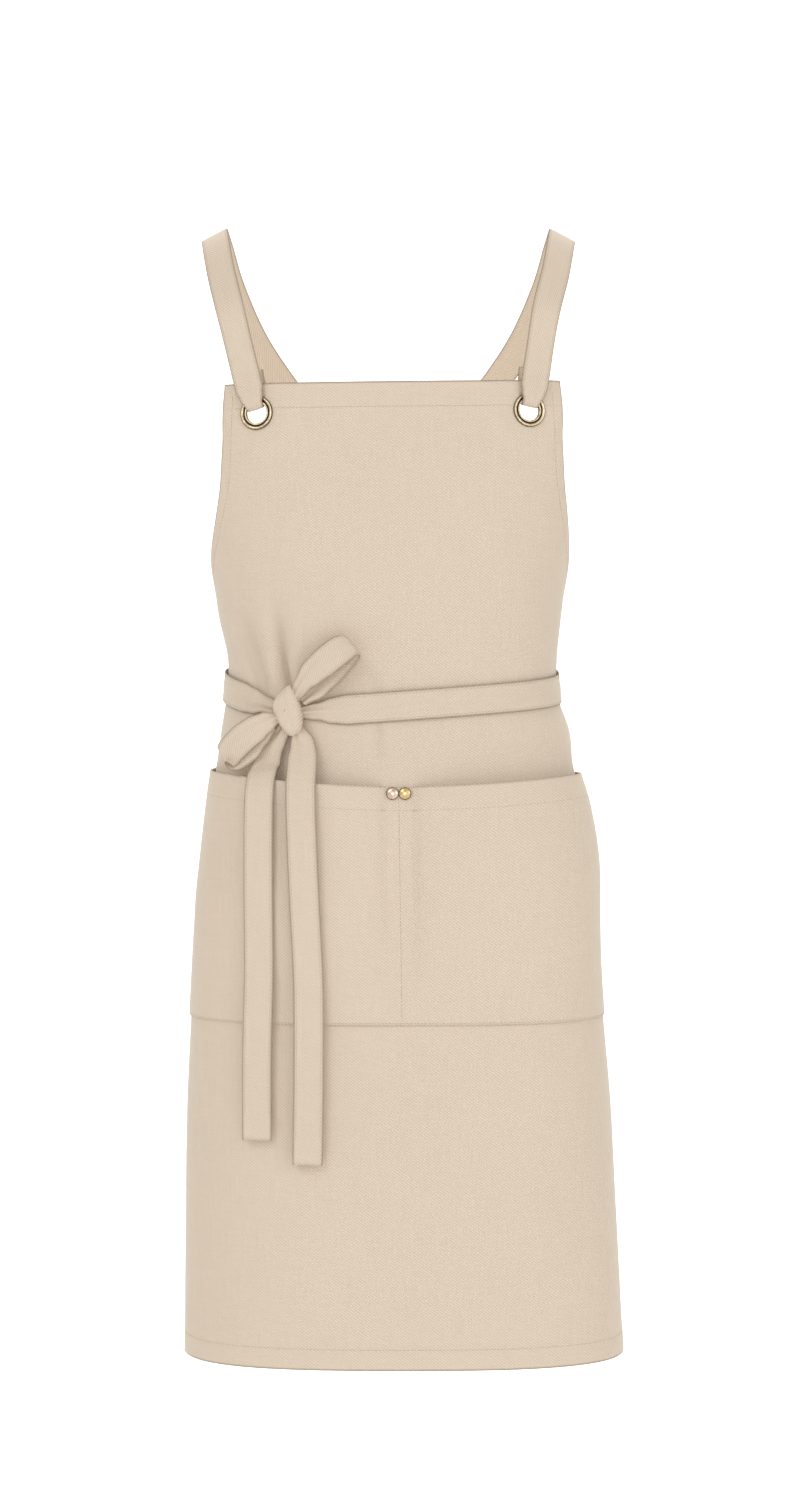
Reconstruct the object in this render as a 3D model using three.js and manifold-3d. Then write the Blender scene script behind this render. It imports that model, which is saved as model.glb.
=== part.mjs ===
// Cross back apron, worn: bib and skirt in one cloth, a divided patch pocket, straps that
// cross behind the back, and a bow at the waist. Millimetres, +Z up, the front faces -Y.
// The origin lies midway between the tops of the two shoulder straps.
import * as THREE from "three";
import { mergeVertices } from "three/addons/utils/BufferGeometryUtils.js";
import Module from "manifold-3d";

const wasm = await Module();
wasm.setup();

// Driving dimensions of the cloth, cut flat.
const apronLength = 850;
const bibHalf = 150;
const skirtHalf = 350;
const bodyCloth = 1.2;
const pocketCloth = 1.2;
const pocketHalf = 240;
const pocketDepth = 204;
const pocketDrop = 350;
const pocketBulge = 14;
const seamHalf = 12;
const sideSeam = 12;

// Driving dimensions of the worn form.
const bibDrop = 134;
const wornBreadth = 194;
const wornDepth = 122;
const squareness = 2.8;
const lean = 0.0144;
const clothShift = 2;
const leftLift = 12;
const rightLift = 8;
const topTilt = 0.012;

// Straps, waist tie and bow.
const strapWidth = 26;
const strapThick = 2;
const strapLap = 11;
const passWidth = 11;
const passThick = 2.8;
const passUp = 4;
const leftStrapLean = 0.3;
const rightStrapLean = 0.2;
const shoulderSpread = 154;
const shoulderDepth = 112;
const tieDrop = 287;
const tieSideDrop = 263;
const tieStandoff = 3.3;
const tieGather = 38;
const tieNarrow = 0.42;
const tieStep = 13;
const knotAcross = 92;
const knotDrop = 284;
const knotWidth = 26.5;
const knotHeight = 43.5;
const knotThick = 17;
const knotGap = 1.2;
const loopSpread = 60;
const loopDepth = 9;
const leftTailDrop = 653;
const rightTailDrop = 673;
const tailClearance = 5.4;
const tailTuck = 0.58;

// Metal fittings.
const eyeletHole = 9.2;
const eyeletRim = 14.9;
const eyeletHeight = 1.8;
const eyeletAcross = 119;
const eyeletDrop = 26;
const sideEyeletInset = 24;
const studRadius = 5.4;
const studHeight = 3.2;
const studSpacing = 10.6;
const studDrop = 5.5;
const rivetRadius = 4;
const rivetHeight = 1.6;
const rivetInset = 7;

// Clearances: between pieces that touch, and what flat facets take up on a curve.
const seat = 0.3;
const facetRoom = 0.2;
const turnRoom = 0.9;
const crossRoom = 2.4;

// The worn form, from the bib's top (down 0) to the hem (down 1). Down is a share of
// apronLength, left and right of wornBreadth, front and back of wornDepth.
const SECTIONS = [
  { down: 0.0, left: 0.91, right: 0.902, front: 0.82, back: 0.78 },
  { down: 0.07, left: 0.915, right: 0.89, front: 0.885, back: 0.81 },
  { down: 0.12, left: 0.9, right: 0.865, front: 0.918, back: 0.83 },
  { down: 0.17, left: 0.86, right: 0.818, front: 0.932, back: 0.84 },
  { down: 0.205, left: 0.815, right: 0.782, front: 0.93, back: 0.832 },
  { down: 0.243, left: 0.795, right: 0.758, front: 0.91, back: 0.815 },
  { down: 0.293, left: 0.757, right: 0.736, front: 0.865, back: 0.8 },
  { down: 0.33, left: 0.762, right: 0.738, front: 0.858, back: 0.8 },
  { down: 0.368, left: 0.789, right: 0.79, front: 0.876, back: 0.82 },
  { down: 0.406, left: 0.814, right: 0.806, front: 0.91, back: 0.86 },
  { down: 0.444, left: 0.845, right: 0.86, front: 0.935, back: 0.89 },
  { down: 0.494, left: 0.88, right: 0.9, front: 0.955, back: 0.91 },
  { down: 0.544, left: 0.912, right: 0.904, front: 0.965, back: 0.92 },
  { down: 0.644, left: 0.944, right: 0.921, front: 0.98, back: 0.925 },
  { down: 0.744, left: 0.97, right: 0.953, front: 0.99, back: 0.93 },
  { down: 0.857, left: 0.986, right: 0.972, front: 0.998, back: 0.94 },
  { down: 1.0, left: 0.999, right: 0.996, front: 1.0, back: 0.945 },
];

// The cut of the cloth: how far its side edge has gone from bibHalf to skirtHalf. Down is
// a share of the way to the side corner, which lies above the side eyelet.
const CUT = [
  { down: 0.0, flare: 0.003 },
  { down: 0.247, flare: 0.024 },
  { down: 0.423, flare: 0.056 },
  { down: 0.6, flare: 0.15 },
  { down: 0.723, flare: 0.29 },
  { down: 0.829, flare: 0.48 },
  { down: 0.924, flare: 0.73 },
  { down: 1.0, flare: 1.0 },
];

// Creases and gathers. Start and end are (across, down) as shares of skirtHalf and
// apronLength, widths and height are shares of wornDepth, and a height below 0 is a valley.
const FOLDS = [
  { across0: -0.425, down0: 0.2, width0: 0.11, across1: -0.325, down1: 0.34, width1: 0.045, height: -0.03 },
  { across0: -0.37, down0: 0.2, width0: 0.07, across1: -0.3, down1: 0.325, width1: 0.04, height: 0.022 },
  { across0: -0.315, down0: 0.19, width0: 0.08, across1: -0.262, down1: 0.34, width1: 0.04, height: -0.034 },
  { across0: -0.255, down0: 0.21, width0: 0.07, across1: -0.243, down1: 0.325, width1: 0.04, height: 0.02 },
  { across0: -0.051, down0: 0.26, width0: 0.05, across1: -0.045, down1: 0.4, width1: 0.045, height: -0.018 },
];

// The rows of the cloth's grid, as shares of apronLength, and its columns as shares of
// the way from the middle to the side edge. The pocket's edges and seams are among them.
const pocketTop = pocketDrop / apronLength;
const pocketBottom = (pocketDrop + pocketDepth) / apronLength;
const sideCorner = (tieSideDrop - sideEyeletInset) / apronLength;
const ROWS = [
  0, 0.016, 0.031, 0.05, 0.08, 0.11, 0.14, 0.17, 0.2, 0.225, 0.25, 0.267, sideCorner, 0.3,
  0.318, 0.335, 0.352, 0.38, pocketTop, 0.445, 0.48, 0.53, 0.59, pocketBottom, 0.71, 0.77,
  0.83, 0.89, 0.945, 1,
].sort((a, b) => a - b);
const SIDE_COLUMNS = [
  0.615, (pocketHalf - sideSeam) / skirtHalf, pocketHalf / skirtHalf, 0.735, 0.785, 0.84, 0.89, 0.94, 1,
];
const LEFT_COLUMNS = [
  seamHalf / skirtHalf, 0.09, 0.15, 0.2, 0.235, 0.262, 0.29, 0.318, 0.35, 0.39, 0.43, 0.48, 0.55,
  ...SIDE_COLUMNS,
];
const RIGHT_COLUMNS = [seamHalf / skirtHalf, 0.1, 0.18, 0.26, 0.34, 0.42, 0.5, 0.56, ...SIDE_COLUMNS];
const COLUMNS = [...LEFT_COLUMNS.map((c) => -c), 0, ...RIGHT_COLUMNS].sort((a, b) => a - b);

const clamp = (v, low, high) => Math.min(high, Math.max(low, v));
const ease = (t) => {
  const c = clamp(t, 0, 1);
  return c * c * (3 - 2 * c);
};
const mix = (a, b, t) => a + (b - a) * t;

// One column of a table at any down: a smooth curve through every row.
function along(table, column, value) {
  const last = table.length - 1;
  const v = clamp(value, table[0].down, table[last].down);
  let i = 0;
  while (i < last - 1 && v > table[i + 1].down) i++;
  const slope = (k) => {
    const a = table[Math.max(k - 1, 0)];
    const b = table[Math.min(k + 1, last)];
    return (b[column] - a[column]) / (b.down - a.down);
  };
  const step = table[i + 1].down - table[i].down;
  const t = (v - table[i].down) / step;
  return (2 * t ** 3 - 3 * t ** 2 + 1) * table[i][column]
    + (t ** 3 - 2 * t ** 2 + t) * slope(i) * step
    + (-2 * t ** 3 + 3 * t ** 2) * table[i + 1][column]
    + (t ** 3 - t ** 2) * slope(i + 1) * step;
}

// The worn form's outline at one height: points from the middle of the front round one
// side to the middle of the back, each with its distance walked along the outline.
const OUTLINE_STEPS = 160;
function outline(down, sideName) {
  const breadth = along(SECTIONS, sideName, down) * wornBreadth;
  const front = along(SECTIONS, "front", down) * wornDepth;
  const back = along(SECTIONS, "back", down) * wornDepth;
  const points = [];
  let walked = 0;
  for (let k = 0; k <= OUTLINE_STEPS; k++) {
    const angle = Math.PI * k / OUTLINE_STEPS;
    const cos = Math.cos(angle);
    const x = breadth * Math.sin(angle) ** (2 / squareness);
    const y = -(cos > 0 ? front : back) * Math.sign(cos) * Math.abs(cos) ** (2 / squareness);
    if (k > 0) walked += Math.hypot(x - points[k - 1].x, y - points[k - 1].y);
    points.push({ x, y, walked });
  }
  return points;
}
const outlines = new Map();
function formPoint(across, down) {
  const sideName = across < 0 ? "left" : "right";
  const key = `${sideName}${down}`;
  if (!outlines.has(key)) outlines.set(key, outline(down, sideName));
  const points = outlines.get(key);
  const reach = Math.abs(across);
  let k = 1;
  while (k < points.length - 1 && points[k].walked < reach) k++;
  const t = (reach - points[k - 1].walked) / (points[k].walked - points[k - 1].walked);
  return {
    x: Math.sign(across) * mix(points[k - 1].x, points[k].x, t),
    y: mix(points[k - 1].y, points[k].y, t),
  };
}

// Rows of the weave rise towards the sides, where the tie pulls the cloth up, and the
// bib's top is tilted a little towards the shorter strap.
function liftAt(across, down) {
  const share = Math.sin(Math.PI / 2 * clamp(Math.abs(across) / pocketHalf, 0, 1)) ** 2;
  const waist = ease((down - 0.2) / 0.13) * (1 - ease((down - pocketTop) / 0.2));
  const tilt = topTilt * across * (1 - ease(down / 0.2));
  return (across < 0 ? leftLift : rightLift) * share * waist + tilt;
}

function foldAt(across, down) {
  let height = 0;
  for (const fold of FOLDS) {
    const t = (down - fold.down0) / (fold.down1 - fold.down0);
    const middle = mix(fold.across0, fold.across1, clamp(t, 0, 1)) * skirtHalf;
    const width = mix(fold.width0, fold.width1, clamp(t, 0, 1)) * wornDepth;
    const gap = (across - middle) / width;
    height += fold.height * wornDepth * Math.exp(-gap * gap) * ease(t * 1.6) * ease((1 - t) * 5);
  }
  return height;
}

// The cloth's middle surface before the creases, (across, down) in millimetres and a share.
function smoothCloth(across, down) {
  const { x, y } = formPoint(across + clothShift, down);
  const drop = bibDrop + down * apronLength;
  return new THREE.Vector3(x + lean * drop, y, liftAt(across, down) - drop);
}
const facingStep = 2;
function facingOf(surface, across, down) {
  const high = clamp(down - facingStep / apronLength, 0, 1);
  const low = clamp(down + facingStep / apronLength, 0, 1);
  const sideways = surface(across + facingStep, down).sub(surface(across - facingStep, down));
  const upwards = surface(across, high).sub(surface(across, low));
  return sideways.cross(upwards).normalize();
}

// Eyelets sit flat, so the cloth is level round each of them.
const bibEyeletDown = eyeletDrop / apronLength;
const sideEyeletDown = tieSideDrop / apronLength;
const sideEyeletAcross = skirtHalf - sideEyeletInset;
const EYELETS = [
  { name: "bib_eyelet_left", across: -eyeletAcross, down: bibEyeletDown, sides: 20 },
  { name: "bib_eyelet_right", across: eyeletAcross, down: bibEyeletDown, sides: 20 },
  { name: "side_eyelet_left", across: -sideEyeletAcross, down: sideEyeletDown, sides: 14 },
  { name: "side_eyelet_right", across: sideEyeletAcross, down: sideEyeletDown, sides: 14 },
];
for (const eyelet of EYELETS) {
  eyelet.centre = smoothCloth(eyelet.across, eyelet.down);
  eyelet.facing = facingOf(smoothCloth, eyelet.across, eyelet.down);
}
const [bibEyeletLeft, bibEyeletRight, sideEyeletLeft, sideEyeletRight] = EYELETS;
function clothPoint(across, down) {
  const point = smoothCloth(across, down);
  const fold = foldAt(across, down);
  if (fold !== 0) point.addScaledVector(facingOf(smoothCloth, across, down), fold);
  for (const { centre, facing } of EYELETS) {
    const away = point.clone().sub(centre);
    const height = away.dot(facing);
    const near = 1 - ease((away.length() - eyeletRim * 1.8) / (eyeletRim * 0.9));
    point.addScaledVector(facing, -height * near);
  }
  return point;
}
const clothFacing = (across, down) => facingOf(clothPoint, across, down);
const clothHalf = (down) => mix(bibHalf, skirtHalf, along(CUT, "flare", down / sideCorner));

// A closed solid between two grids of points that have the same rows and columns.
function slab(outer, inner) {
  const rows = outer.length;
  const cols = outer[0].length;
  const positions = [];
  for (const grid of [outer, inner]) {
    for (const row of grid) for (const p of row) positions.push(p.x, p.y, p.z);
  }
  const at = (layer, r, c) => layer * rows * cols + r * cols + c;
  const faces = [];
  const quad = (a, b, c, d) => faces.push(a, b, c, a, c, d);
  for (let r = 0; r < rows - 1; r++) {
    for (let c = 0; c < cols - 1; c++) {
      quad(at(0, r, c), at(0, r + 1, c), at(0, r + 1, c + 1), at(0, r, c + 1));
      quad(at(1, r, c), at(1, r, c + 1), at(1, r + 1, c + 1), at(1, r + 1, c));
    }
  }
  const rim = [];
  for (let c = 0; c < cols - 1; c++) rim.push([0, c, 0, c + 1]);
  for (let r = 0; r < rows - 1; r++) rim.push([r, cols - 1, r + 1, cols - 1]);
  for (let c = cols - 1; c > 0; c--) rim.push([rows - 1, c, rows - 1, c - 1]);
  for (let r = rows - 1; r > 0; r--) rim.push([r, 0, r - 1, 0]);
  for (const [r0, c0, r1, c1] of rim) {
    quad(at(0, r0, c0), at(0, r1, c1), at(1, r1, c1), at(1, r0, c0));
  }
  return meshGeometry(positions, faces);
}
function meshGeometry(positions, faces) {
  const geometry = new THREE.BufferGeometry();
  geometry.setAttribute("position", new THREE.Float32BufferAttribute(positions, 3));
  geometry.setIndex(faces);
  return geometry;
}

// Booleans: a three.js geometry becomes a solid, and back.
function solidOf(geometry) {
  const bare = geometry.clone();
  bare.deleteAttribute("normal");
  bare.deleteAttribute("uv");
  const merged = mergeVertices(bare, 1e-4);
  return new wasm.Manifold(new wasm.Mesh({
    numProp: 3,
    vertProperties: new Float32Array(merged.attributes.position.array),
    triVerts: new Uint32Array(merged.index.array),
  }));
}
function geometryOf(solid) {
  const mesh = solid.getMesh();
  return meshGeometry(Array.from(mesh.vertProperties), Array.from(mesh.triVerts));
}

// Turns a shape built about +Z to stand on a point and face a way.
function placed(geometry, centre, facing) {
  const turn = new THREE.Quaternion().setFromUnitVectors(new THREE.Vector3(0, 0, 1), facing);
  geometry.applyQuaternion(turn);
  geometry.translate(centre.x, centre.y, centre.z);
  return geometry;
}

// The body: the cloth's grid as a slab, with a round hole for each eyelet's barrel.
const eyeletBarrel = mix(eyeletHole, eyeletRim, 0.3);
function bodyGeometry() {
  const side = (offset) => ROWS.map((down) => COLUMNS.map((column) => {
    const across = column * clothHalf(down);
    return clothPoint(across, down).addScaledVector(clothFacing(across, down), offset);
  }));
  let solid = solidOf(slab(side(bodyCloth / 2), side(-bodyCloth / 2)));
  const radius = eyeletBarrel + seat;
  for (const { centre, facing } of EYELETS) {
    const punch = new THREE.CylinderGeometry(radius, radius, bodyCloth * 10, 24);
    punch.rotateX(Math.PI / 2);
    solid = solid.subtract(solidOf(placed(punch, centre, facing)));
  }
  return geometryOf(solid);
}

// An eyelet: a rolled rim in front, a washer behind, and a barrel through the cloth.
const eyeletSkin = bodyCloth / 2 + seat + facetRoom / 2;
function eyeletGeometry({ centre, facing, sides }) {
  const crest = mix(eyeletHole, eyeletRim, 0.5);
  const profile = [
    [eyeletHole, 0],
    [mix(eyeletHole, crest, 0.25), -eyeletSkin - eyeletHeight * 0.5],
    [mix(crest, eyeletRim, 0.7), -eyeletSkin - eyeletHeight * 0.5],
    [eyeletRim, -eyeletSkin],
    [eyeletBarrel, -eyeletSkin],
    [eyeletBarrel, eyeletSkin],
    [eyeletRim, eyeletSkin],
    [mix(crest, eyeletRim, 0.6), eyeletSkin + eyeletHeight * 0.85],
    [crest, eyeletSkin + eyeletHeight],
    [mix(eyeletHole, crest, 0.3), eyeletSkin + eyeletHeight * 0.7],
    [eyeletHole, 0],
  ].map(([radius, height]) => new THREE.Vector2(radius, height));
  const ring = new THREE.LatheGeometry(profile, sides);
  ring.rotateX(Math.PI / 2);
  return placed(geometryOf(solidOf(ring)), centre, facing);
}

// How far the pocket's cloth stands off: sewn down at the sides, the middle and the
// bottom, open at the top, and fullest towards the middle of each half.
function pocketStandoff(across, down) {
  const span = pocketHalf - sideSeam - seamHalf;
  const share = clamp((Math.abs(across) - seamHalf) / span, 0, 1);
  const height = clamp(1 - (down * apronLength - pocketDrop) / pocketDepth, 0, 1);
  const sideways = 3 * share ** 0.6 * (1 - share) ** 1.1;
  const upwards = ease(height * 1.7) * mix(1, 0.92, height);
  return pocketBulge * sideways * upwards;
}
const pocketMiddle = bodyCloth / 2 + seat + facetRoom + pocketCloth / 2;
function pocketPoint(across, down, offset) {
  const reach = pocketMiddle + pocketStandoff(across, down) + offset;
  return clothPoint(across, down).addScaledVector(clothFacing(across, down), reach);
}
function pocketGeometry() {
  const rows = ROWS.filter((down) => down >= pocketTop && down <= pocketBottom);
  const cols = COLUMNS.map((c) => c * skirtHalf).filter((a) => Math.abs(a) <= pocketHalf + seat);
  const side = (offset) => rows.map((down) => cols.map((a) => pocketPoint(a, down, offset)));
  return slab(side(pocketCloth / 2), side(-pocketCloth / 2));
}

// A flat strap carried along a route of {at, face} stations, each optionally with its own
// width and thickness. The face vector says which way the strap's outer side looks.
function ribbon(stations) {
  const outer = [];
  const inner = [];
  stations.forEach((station, i) => {
    const before = stations[Math.max(i - 1, 0)].at;
    const after = stations[Math.min(i + 1, stations.length - 1)].at;
    const way = after.clone().sub(before).normalize();
    const face = station.face.clone().addScaledVector(way, -station.face.dot(way)).normalize();
    const wide = face.clone().cross(way).normalize();
    const half = (station.width ?? strapWidth) / 2;
    const thick = (station.thick ?? strapThick) / 2;
    const edge = (sign, up) => station.at.clone().addScaledVector(wide, sign * half)
      .addScaledVector(face, up * thick);
    outer.push([edge(-1, 1), edge(0, 1), edge(1, 1)]);
    inner.push([edge(-1, -1), edge(0, -1), edge(1, -1)]);
  });
  return slab(outer, inner);
}

// Evenly spaced stations on smooth curves through chosen ones.
function smoothed(stations, count) {
  const points = new THREE.CatmullRomCurve3(stations.map((s) => s.at), false, "centripetal");
  const faces = new THREE.CatmullRomCurve3(stations.map((s) => s.face));
  const pick = (name, usual, t) => {
    const place = t * (stations.length - 1);
    const i = Math.min(Math.floor(place), stations.length - 2);
    return mix(stations[i][name] ?? usual, stations[i + 1][name] ?? usual, ease(place - i));
  };
  return Array.from({ length: count + 1 }, (_, i) => ({
    at: points.getPoint(i / count),
    face: faces.getPoint(i / count).normalize(),
    width: pick("width", strapWidth, i / count),
    thick: pick("thick", strapThick, i / count),
  }));
}

// The strap's hairpin through a bib eyelet, in the plane of the eyelet: out is away from
// the cloth as a share of hairpinReach, and up is along the bib. It starts behind the
// bib, where it is sewn.
const hairpinReach = eyeletSkin + eyeletHeight + seat + strapThick / 2 + turnRoom;
const strapTop = eyeletDrop + strapLap;
const HAIRPIN = [
  { out: -1, up: strapTop, width: strapWidth, thick: strapThick },
  { out: -1, up: eyeletDrop * 0.85, width: strapWidth * 0.94, thick: strapThick },
  { out: -1, up: eyeletRim * 0.92, width: strapWidth * 0.7, thick: strapThick },
  { out: -0.72, up: eyeletHole * 0.8, width: passWidth, thick: passThick },
  { out: 0, up: passUp, width: passWidth, thick: passThick },
  { out: 0.72, up: eyeletHole * 0.8, width: passWidth, thick: passThick },
  { out: 1, up: eyeletRim * 0.92, width: strapWidth * 0.7, thick: strapThick },
  { out: 1, up: eyeletDrop * 0.85, width: strapWidth * 0.96, thick: strapThick },
  { out: 1, up: strapTop, width: strapWidth, thick: strapThick },
];

// The strap's way over the shoulder and down the back. Across is a share of
// shoulderSpread, deep of shoulderDepth (below 0 is in front), and down of the bib's and
// the tie's drops together.
const OVER_SHOULDER = [
  { across: 0.885, deep: -0.86, down: 0.185 },
  { across: 0.942, deep: -0.66, down: 0.1 },
  { across: 0.985, deep: -0.34, down: 0.022 },
  { across: 1.0, deep: 0.0, down: 0.0 },
  { across: 0.98, deep: 0.38, down: 0.028 },
  { across: 0.92, deep: 0.74, down: 0.11 },
  { across: 0.78, deep: 0.93, down: 0.23 },
  { across: 0.53, deep: 1.0, down: 0.37 },
  { across: 0.27, deep: 1.01, down: 0.5 },
  { across: 0.01, deep: 0.98, down: 0.62 },
  { across: -0.2, deep: 0.9, down: 0.735 },
  { across: -0.37, deep: 0.79, down: 0.86 },
];

// The way a strap faces where it lies on the shoulders and the back: away from an
// ellipsoid, upright below its middle.
const shoulderSlope = { breadth: 214, depth: 115, height: 150, middle: -143 };
function bodyFacing(point) {
  const { breadth, depth, height, middle } = shoulderSlope;
  return new THREE.Vector3(
    point.x / breadth ** 2,
    point.y / depth ** 2,
    Math.max(point.z - middle, 0) / height ** 2,
  ).normalize();
}

// Stations that pass a side eyelet from the inside to the outside. Ahead and rise are
// shares of eyeletHole, ahead along the cloth towards the front, and out of sidePass.
const sidePass = eyeletSkin + eyeletHeight + seat + passThick / 2 + turnRoom;
const SIDE_PASS = [
  { ahead: -1.9, out: -1.1, rise: 1.6, width: strapWidth * 0.7, thick: strapThick },
  { ahead: -1.25, out: -1, rise: 0.55, width: passWidth, thick: passThick },
  { ahead: -0.62, out: -0.62, rise: 0.1, width: passWidth * 0.92, thick: passThick },
  { ahead: 0.0, out: 0, rise: 0, width: passWidth * 0.92, thick: passThick },
  { ahead: 0.62, out: 0.62, rise: 0, width: passWidth * 0.92, thick: passThick },
  { ahead: 1.25, out: 1, rise: 0, width: passWidth, thick: passThick },
  { ahead: 2.4, out: 1, rise: 0, width: strapWidth * 0.8, thick: strapThick },
];
function sidePassStations(eyelet, rows) {
  const side = Math.sign(eyelet.across);
  const ahead = new THREE.Vector3(0, 0, 1).cross(eyelet.facing).multiplyScalar(-side).normalize();
  return rows.map(({ ahead: share, out, rise, width, thick }) => ({
    at: eyelet.centre.clone().addScaledVector(ahead, share * eyeletHole)
      .addScaledVector(eyelet.facing, out * sidePass)
      .add(new THREE.Vector3(0, 0, rise * eyeletHole)),
    face: eyelet.facing.clone(),
    width,
    thick,
  }));
}

function shoulderStrapGeometry(side) {
  const eyelet = side < 0 ? bibEyeletLeft : bibEyeletRight;
  const far = side < 0 ? sideEyeletRight : sideEyeletLeft;
  const up = new THREE.Vector3(0, 0, 1);
  up.addScaledVector(eyelet.facing, -up.dot(eyelet.facing)).normalize();
  const aside = new THREE.Vector3(0, 0, 1).cross(eyelet.facing).normalize();
  up.addScaledVector(aside, side < 0 ? -leftStrapLean : rightStrapLean).normalize();
  const stations = HAIRPIN.map(({ out, up: rise, width, thick }) => ({
    at: eyelet.centre.clone().addScaledVector(up, rise)
      .addScaledVector(eyelet.facing, out * hairpinReach),
    face: eyelet.facing.clone().multiplyScalar(out).addScaledVector(up, -(1 - Math.abs(out))),
    width,
    thick,
  }));
  const lift = (side < 0 ? 1 : -1) * (strapThick + crossRoom) / 2;
  for (const { across, deep, down } of OVER_SHOULDER) {
    const at = new THREE.Vector3(
      side * across * shoulderSpread,
      deep * shoulderDepth + lift * ease((deep - 0.8) / 0.15),
      -down * (bibDrop + tieSideDrop),
    );
    stations.push({ at, face: bodyFacing(at) });
  }
  stations.push(...sidePassStations(far, SIDE_PASS.slice(0, 3)));
  return ribbon(smoothed(stations, 62));
}

// The waist tie lies round the outside of the cloth, from a side eyelet to the knot. It
// drops towards the knot, and is gathered where it goes in.
function tieStation(across, out) {
  const left = across < -knotAcross;
  const reach = pocketHalf + (left ? -knotAcross : knotAcross);
  const share = clamp(1 - Math.abs(across + knotAcross) / reach, 0, 1) ** (left ? 2 : 1);
  const drop = mix(tieSideDrop, tieDrop, share) + liftAt(across, tieDrop / apronLength);
  const face = clothFacing(across, drop / apronLength);
  return { at: clothPoint(across, drop / apronLength).addScaledVector(face, out), face };
}
function waistTieGeometry(side) {
  const stations = sidePassStations(side < 0 ? sideEyeletLeft : sideEyeletRight, SIDE_PASS.slice(4));
  const start = side * (sideEyeletAcross - eyeletHole * 4.2);
  const stop = -knotAcross + side * knotWidth * 0.43;
  const count = Math.round(Math.abs(start - stop) / tieStep);
  for (let i = 0; i <= count; i++) {
    const across = mix(start, stop, i / count);
    const settling = (sidePass - tieStandoff) * ease(1 - i / 4);
    const width = strapWidth * mix(tieNarrow, 1, ease(Math.abs(across - stop) / tieGather));
    stations.push({ ...tieStation(across, tieStandoff + settling), width });
  }
  return ribbon(smoothed(stations, stations.length - 1));
}

// The knot is a plump wrap of strap. Its outline is given as shares of half its width and
// half its height, and its swell as how much of the outline is left at each depth.
const knotOut = bodyCloth / 2 + seat + knotThick / 2 + knotGap;
const KNOT_OUTLINE = [
  { right: 0.19, up: 1.0 },
  { right: 0.48, up: 0.79 },
  { right: 0.84, up: 0.2 },
  { right: 1.0, up: -0.42 },
  { right: 0.9, up: -0.74 },
  { right: 0.52, up: -0.97 },
  { right: 0.15, up: -1.0 },
  { right: -0.4, up: -0.67 },
  { right: -0.71, up: -0.31 },
  { right: -0.96, up: 0.04 },
  { right: -0.97, up: 0.27 },
  { right: -0.71, up: 0.56 },
  { right: -0.19, up: 0.87 },
];
const KNOT_SWELL = [
  { deep: -0.88, share: 0.6 },
  { deep: -0.5, share: 0.9 },
  { deep: 0, share: 1 },
  { deep: 0.5, share: 0.95 },
  { deep: 0.85, share: 0.74 },
  { deep: 0.97, share: 0.4 },
];
const knotSeat = {
  at: smoothCloth(-knotAcross, knotDrop / apronLength),
  face: facingOf(smoothCloth, -knotAcross, knotDrop / apronLength),
};
function knotGeometry() {
  const sides = KNOT_OUTLINE.length;
  const rings = KNOT_SWELL.length;
  const points = KNOT_SWELL.flatMap(({ deep, share }) => KNOT_OUTLINE.map(({ right, up }) => knotPoint(
    right * share * knotWidth / 2,
    up * share * knotHeight / 2,
    knotOut + deep * knotThick / 2,
  )));
  points.push(knotPoint(0, 0, knotOut - knotThick / 2), knotPoint(0, 0, knotOut + knotThick / 2));
  const faces = [];
  for (let side = 0; side < sides; side++) {
    const next = (side + 1) % sides;
    faces.push(rings * sides, side, next);
    faces.push(rings * sides + 1, (rings - 1) * sides + next, (rings - 1) * sides + side);
    for (let ring = 0; ring < rings - 1; ring++) {
      const [a, b] = [ring * sides + side, ring * sides + next];
      faces.push(a, a + sides, b + sides, a, b + sides, b);
    }
  }
  return meshGeometry(points.flatMap((p) => [p.x, p.y, p.z]), faces);
}

// A point by the knot: to the viewer's right, up, and out from the cloth.
function knotPoint(right, up, out) {
  const point = knotSeat.at.clone().addScaledVector(knotSeat.face, out);
  const sideways = new THREE.Vector3(-knotSeat.face.y, knotSeat.face.x, 0).normalize();
  point.addScaledVector(sideways, right);
  point.z = up - bibDrop - knotDrop;
  return point;
}

// The two loops of the bow, from the knot along the front layer, round the end and back
// along the lower, inner layer. Right and up are shares of loopSpread from the knot's
// middle, out is a share of loopDepth from it, and wide is a share of strapWidth.
const UPPER_LOOP = [
  { right: 0.2, up: 0.27, out: 0.3, wide: 0.42 },
  { right: 0.3, up: 0.43, out: 0.65, wide: 0.68 },
  { right: 0.44, up: 0.57, out: 0.8, wide: 0.9 },
  { right: 0.63, up: 0.72, out: 0.85, wide: 1 },
  { right: 0.84, up: 0.88, out: 0.55, wide: 1 },
  { right: 0.965, up: 0.93, out: 0.0, wide: 0.98 },
  { right: 0.88, up: 0.84, out: -0.33, wide: 1 },
  { right: 0.66, up: 0.61, out: -0.5, wide: 1 },
  { right: 0.42, up: 0.35, out: -0.42, wide: 0.8 },
  { right: 0.27, up: 0.17, out: -0.3, wide: 0.4 },
];
const LOWER_LOOP = [
  { right: -0.23, up: -0.15, out: 0.4, wide: 0.5 },
  { right: -0.34, up: -0.205, out: 0.85, wide: 0.8 },
  { right: -0.46, up: -0.28, out: 1.02, wide: 0.95 },
  { right: -0.64, up: -0.41, out: 1.1, wide: 1 },
  { right: -0.83, up: -0.59, out: 0.9, wide: 1 },
  { right: -0.92, up: -0.7, out: 0.6, wide: 1 },
  { right: -0.83, up: -0.69, out: 0.5, wide: 1 },
  { right: -0.6, up: -0.54, out: 0.45, wide: 1 },
  { right: -0.42, up: -0.38, out: 0.2, wide: 0.6 },
  { right: -0.28, up: -0.27, out: 0.2, wide: 0.35 },
];
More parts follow.
